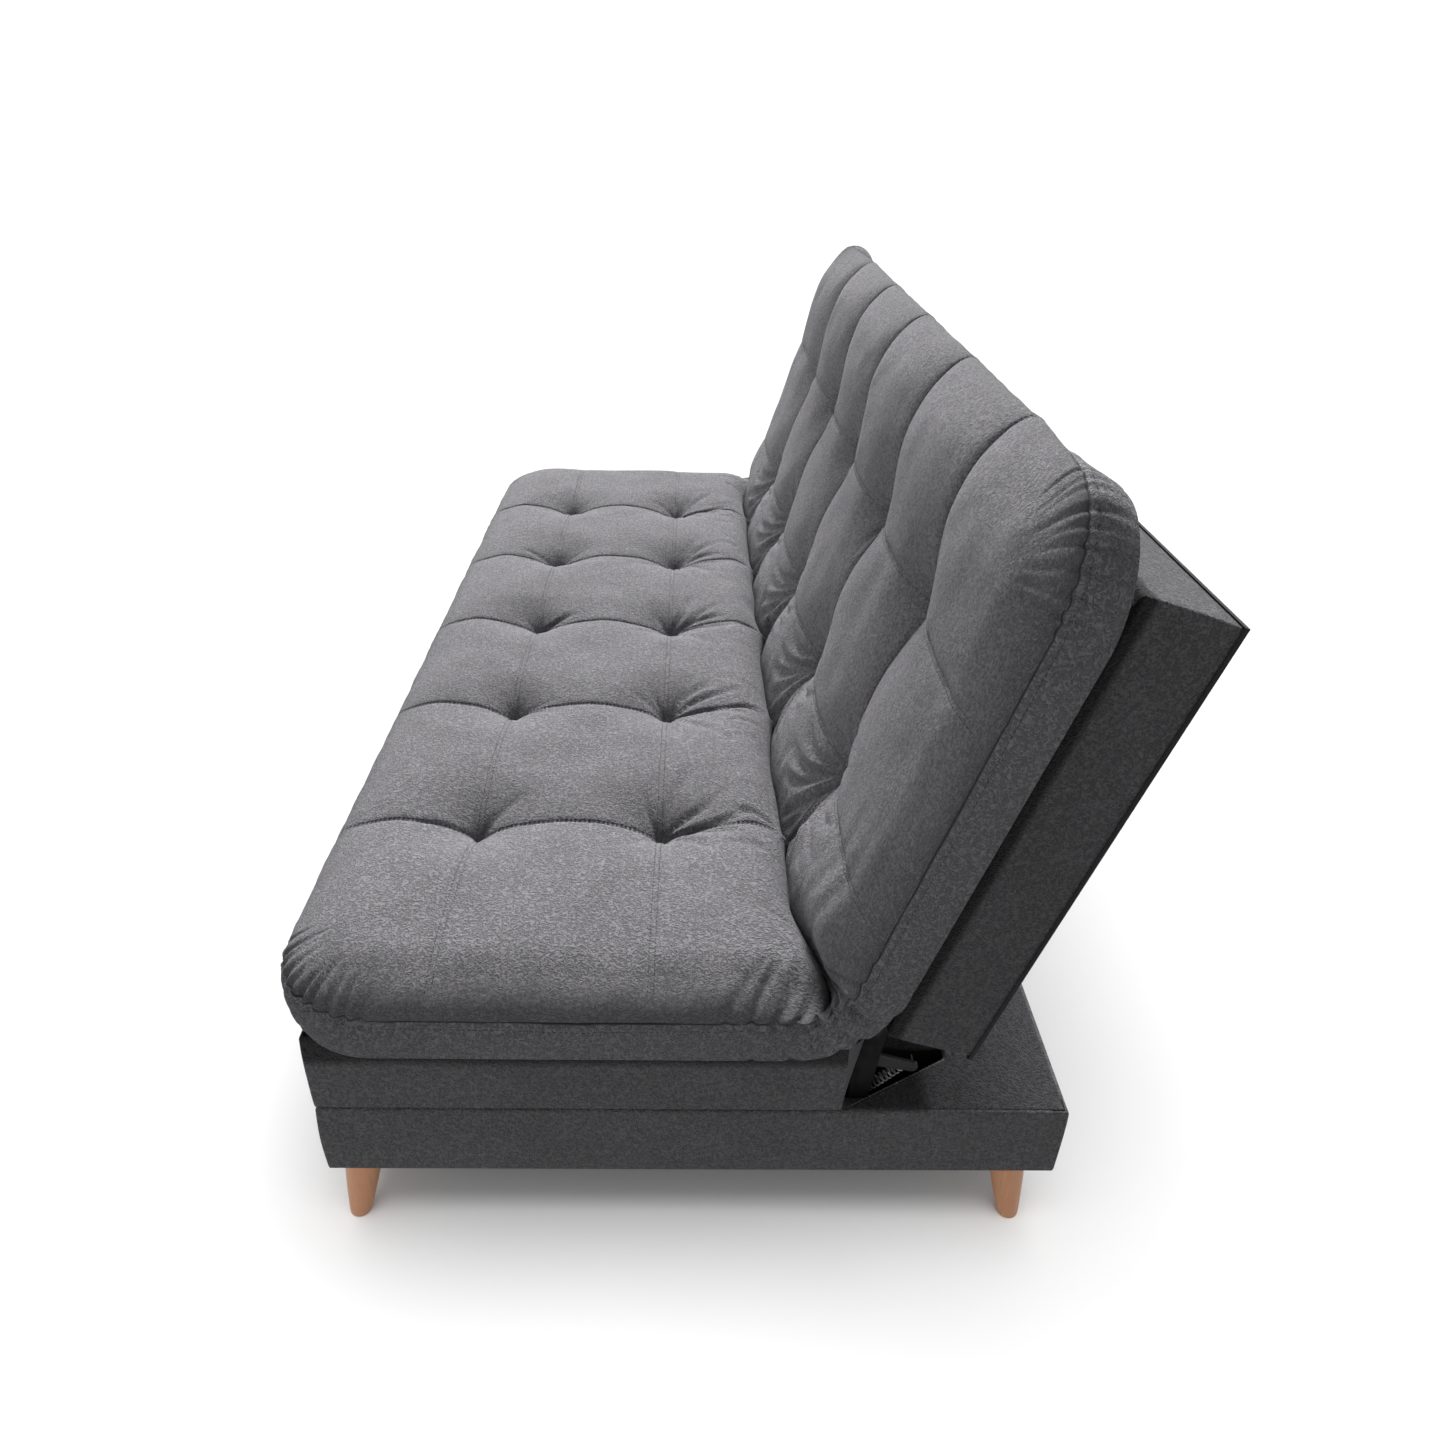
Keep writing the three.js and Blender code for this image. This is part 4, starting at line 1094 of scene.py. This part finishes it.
def deck():
    """The deck velvet: pulled over the base's rear rails, with a rolled edge round the openings."""
    jump = 0.0001  # half the width of the step in the front edge
    side = [DECK_INNER - jump, DECK_INNER + jump, *np.linspace(DECK_SLANT[0], DECK_HALF - 0.004, 16)]
    side = np.array([*side, DECK_HALF - 0.001, DECK_HALF])
    middle = np.linspace(-DECK_INNER + 0.01, DECK_INNER - 0.01, 90)
    xs = np.concatenate([-side[::-1], middle, side])
    front = deck_front(xs)
    flat_part = smooth((DECK_HALF - np.abs(xs)) / 0.09)
    rows, heights = [], []
    for inward, height in DECK_ROLL:
        gathers = 0.0006 * wave(xs, 0.007, 61) + 0.0008 * wave(xs, 0.021, 62)
        rows.append(np.stack([xs, front + inward + gathers], -1))
        heights.append(np.full_like(xs, height) + 0.0002 * wave(xs, 0.009, 63))
    start = front + DECK_ROLL[-1][0]
    for t in np.linspace(0, 1, 16)[1:-1]:
        rows.append(np.stack([xs, mix(start, DECK_REAR - DECK_TURN[0][0], t)], -1))
        heights.append(0.0004 + 0.0003 * ripple(xs, rows[-1][:, 1], 0.06, 64) * flat_part)
    for inward, height in DECK_TURN:
        rows.append(np.stack([xs, np.full_like(xs, DECK_REAR - inward)], -1))
        heights.append(np.full_like(xs, height))
    turned = 0.0022 * np.clip((np.abs(xs) - DECK_HALF + 0.001) / 0.001, 0, 1) ** 2
    upper = np.concatenate([np.column_stack([r, BASE_HIGH[2] + h - turned]) for r, h in zip(rows, heights)])
    lower = upper - [0, 0, SKIN]
    under = UNDER_ROLL * len(xs)
    lower[:under] = upper[:under] + [0, 0, SKIN]
    piece = thin_body("deck_velvet", upper, lower, len(rows), len(xs), FABRIC["deck"])
    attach(piece, "base")
    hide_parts("rear_deck_fabric")


CORD = {"length": 0.0060, "pitch": 0.0052, "radius": 0.0013}


def deck_cords():
    """A pale cord along the deck velvet's two slanting cuts: a painted highlight of their rolled edge."""
    for side, name in ((-1, "left"), (1, "right")):
        x = np.linspace(DECK_SLANT[0], DECK_HALF - 0.003, 40)
        path = np.stack([side * x, deck_front(x) - 0.0008, np.full_like(x, BASE_HIGH[2] - 0.0002)], -1)
        piece = stitches(f"deck_edge_cord_{name}", [path], FABRIC["cord"], **CORD)
        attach(piece, "base")


# The sheets' outermost columns and rows, in from the edge: close together, for the turned hem.
HEM_ROWS = np.array([0, 0.002, 0.0037, 0.0042, 0.005, 0.0068, 0.012])
FELT = 0.0006  # the sheets' thickness
TACKED, ON_RAIL, SLACK_RUN = 0.03, 0.02, 0.1  # flat this far in from the edge and beside the centre rail


def hemmed(width, count):
    """Places over the width, with the hem's at both ends."""
    inner = np.linspace(0.035, width - 0.035, count)
    return np.concatenate([HEM_ROWS, inner, width - HEM_ROWS[::-1]])


def sheet_grid(name, half_x, low, high, place, sag, seed):
    """A thin sheet tacked down round its edge, slack between."""
    across, along = hemmed(2 * half_x, 110), hemmed(high - low, 40)
    x, a = np.meshgrid(across - half_x, along + low)
    x, a = x.ravel(), a.ravel()
    inner = np.minimum(half_x - np.abs(x), np.minimum(a - low, high - a))
    slack = smooth((inner - TACKED) / SLACK_RUN) * smooth((np.abs(x) - ON_RAIL) / SLACK_RUN)
    drop = sag * slack * (1 + 0.5 * ripple(x, a, 0.2, seed)) + 0.0008 * ripple(x, a, 0.03, seed + 1) * slack
    upper, lower = place(x, a, drop, 0), place(x, a, drop, FELT)
    piece = thin_body(name, upper, lower, len(along), len(across), FABRIC["dust"])
    return piece


def below_seat(x, y, drop, deep):
    return np.stack([x, y, SEAT_LOW[2] + 0.0002 + drop + deep], -1)


BACK_HEM = 0.0042  # how much of the back's dust sheet is turned round the box's rear edges
HEM_OUT = 0.0021  # how far it stands out from the box there


def behind_back(x, s, drop, deep):
    """The sheet over the back box's rear, turned forward round its edges."""
    out = HEM_OUT - deep
    half = SEAT_HIGH[0] + out
    flat_x, flat_s = np.clip(x, -half, half), np.clip(s, -out, BACK_HEIGHT + out)
    turned = np.maximum(np.abs(x - flat_x), np.abs(s - flat_s))
    y, z = on_back(flat_s, -(BACK_THICK + 0.0003 - deep - drop - turned))
    return np.stack([flat_x, y, z], -1)


def dust_covers():
    """Black sheets below the seat box and behind the back box; for the one below the base only its box is
    read.
    """
    edge = 0.012
    half, low, high = SEAT_HIGH[0] - edge, SEAT_LOW[1] + edge, SEAT_HIGH[1] - edge
    seat = sheet_grid("seat_dust_sheet", half, low, high, below_seat, 0.006, 71)
    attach(seat, "seat")
    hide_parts("seat_dust_cover")
    reach = HEM_OUT + BACK_HEM
    half, low, high = SEAT_HIGH[0] + reach, -reach, BACK_HEIGHT + reach
    back = sheet_grid("back_dust_sheet", half, low, high, behind_back, 0.005, 81)
    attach(back, "back")
    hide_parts("back_dust_cover")
    low, high = node_box("base_dust_cover")


def staples():
    """The wire staples that hold the back's dust cover, in a row a little in from its edge."""
    inset, lift = 0.020, 0.0003
    half, low, high = SEAT_HIGH[0] - inset, inset, BACK_HEIGHT - inset
    corners = [(-half, low), (half, low), (half, high), (-half, high), (-half, low)]
    paths = []
    for (x0, s0), (x1, s1) in zip(corners[:-1], corners[1:]):
        t = np.linspace(0.01, 0.99, 60)
        y, z = on_back(mix(s0, s1, t), -(BACK_THICK + lift))
        paths.append(np.stack([mix(x0, x1, t), y, z], -1))
    piece = stitches("back_staples", paths, ZINC, length=0.011, pitch=0.062)
    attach(piece, "back")


def lathe(name, profile, centres, material, segments=72):
    """A closed turning through level rings (radius, height), each about its own centre.

    The first and the last ring are points.
    """
    inner = profile[1:-1]
    turns = np.linspace(0, 2 * math.pi, segments, endpoint=False)
    points = [(*centres[0], profile[0][1]), (*centres[-1], profile[-1][1])]
    for (radius, height), (x, y) in zip(inner, centres[1:-1]):
        points += [(x + radius * math.cos(t), y + radius * math.sin(t), height) for t in turns]
    faces = grid_faces(len(inner), segments, 2, close=True)
    last = 2 + (len(inner) - 1) * segments
    for k in range(segments):
        m = (k + 1) % segments
        faces.append((0, 2 + m, 2 + k))
        faces.append((1, last + k, last + m))
    return add_mesh(name, points, faces, material)


def ring_at(corners, height):
    """Centre and radius of the widest ring of corners at a height."""
    level = corners[np.abs(corners[:, 2] - height) < 0.0005][:, :2]
    low, high = level.min(axis=0), level.max(axis=0)
    return (low + high) / 2, (high[0] - low[0]) / 2


FOOT_ROUND = 0.0028  # the radius of a foot's edge
LEG_SWELL = 0.0006  # how much a leg is fuller than a straight cone
BORE_GAP = 0.0004  # between a stud and its bore


def turned_legs():
    """Splayed conical legs with a softened foot and shoulder, each with an upright bore for its stud."""
    for place in ("front_left", "front_right", "rear_left", "rear_right"):
        low, high = node_box(f"leg_{place}")
        stud_low, stud_high = node_box(f"leg_stud_{place}")
        corners = np.array([v.co for v in frame["nodes"][f"leg_{place}"].data.vertices])
        foot_centre, foot = ring_at(corners, low[2])
        top_centre, top = ring_at(corners, high[2])
        bore, floor = (stud_high[0] - stud_low[0]) / 2 + BORE_GAP, stud_low[2] - 0.0005
        profile = [(0, low[2]), (foot - FOOT_ROUND, low[2])]
        for degrees in (30, 60, 90):
            turn = math.radians(degrees)
            rise = FOOT_ROUND * (1 - math.cos(turn))
            profile.append((foot - FOOT_ROUND * (1 - math.sin(turn)), low[2] + rise))
        for height in np.linspace(low[2] + FOOT_ROUND, high[2] - 0.0015, 14)[1:]:
            share = (height - low[2]) / (high[2] - low[2])
            profile.append((mix(foot, top, share) + LEG_SWELL * np.sin(np.pi * share), height))
        profile.append((top - 0.0012, high[2]))
        centres = [mix(foot_centre, top_centre, (h - low[2]) / (high[2] - low[2])) for _, h in profile]
        profile += [(bore, high[2]), (bore, floor), (0, floor)]
        piece = lathe(f"turned_leg_{place}", profile, centres + [top_centre] * 3, LEG_WOOD)
        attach(piece, "base")
        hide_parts(f"leg_{place}")


FOLD_REACH = 0.021  # how far a corner's fold stands out to the rear at its top
FOLD_BOW = 0.0035
FOLD_THICK = 0.0014


def corner_gussets():
    """The folded velvet at the seat box's two rear corners, drawn in towards the top."""
    y, low, high = SEAT_HIGH[1] - 0.001, SEAT_LOW[2] + 0.002, SEAT_HIGH[2] - 0.004
    rows, columns = 24, 9
    t, u = np.meshgrid(np.linspace(0, 1, rows), np.linspace(0, 1, columns), indexing="ij")
    t, u = t.ravel(), u.ravel()
    bow = FOLD_BOW * np.sin(math.pi * u) * t
    for side, name in ((-1, "left"), (1, "right")):
        x = side * (SEAT_HIGH[0] - 0.001)
        px = x - side * (0.017 * t * u + 0.002 * u) + side * bow
        outer = np.stack([px, y + FOLD_REACH * t**1.2 * u, mix(low, high - 0.006 * u, t)], -1)
        inner = outer - [side * FOLD_THICK, 0, 0]
        pair = (outer, inner) if side < 0 else (inner, outer)
        piece = thin_body(f"seat_corner_fold_{name}", *pair, rows, columns, FABRIC["box"])
        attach(piece, "seat")


# ---- carried-over CAD pieces ----
def dress_cad():
    """Gives every CAD node that stays its own finish, with the wood's grain along the piece; the rails round
    the mechanism get painted shade.
    """
    for name, node in frame["nodes"].items():
        low, high = node_box(name)
        longest = "xyz"[int(np.argmax(high - low))]
        if name.startswith("pawl_spring"):
            finish = SPRING_STEEL
        elif name.startswith("leg_stud"):
            finish = ZINC
        elif "bolt" in name or "nut" in name:
            finish = BOLT
        elif name.startswith("leg_"):
            finish = LEG_WOOD
        elif "pawl" in name:
            finish = BARE_STEEL
        elif "arm" in name or "bracket" in name:
            finish = STEEL
        elif "cover" in name:
            finish = FABRIC["dust"]
        elif "fabric" in name or "mattress" in name:
            finish = FABRIC["deck"]
        elif any(part in name for part in ("inner_rail", "deck_rail", "cross_rail", "bottom_rail")):
            finish = SHADED_PINE
        else:
            finish = PINE[longest]
        node.data.materials.clear()
        node.data.materials.append(finish)


add_camera()
add_light(add_floor())
add_world()
dress_cad()
mattress()
box_covers()
deck()
deck_cords()
dust_covers()
staples()
turned_legs()
corner_gussets()
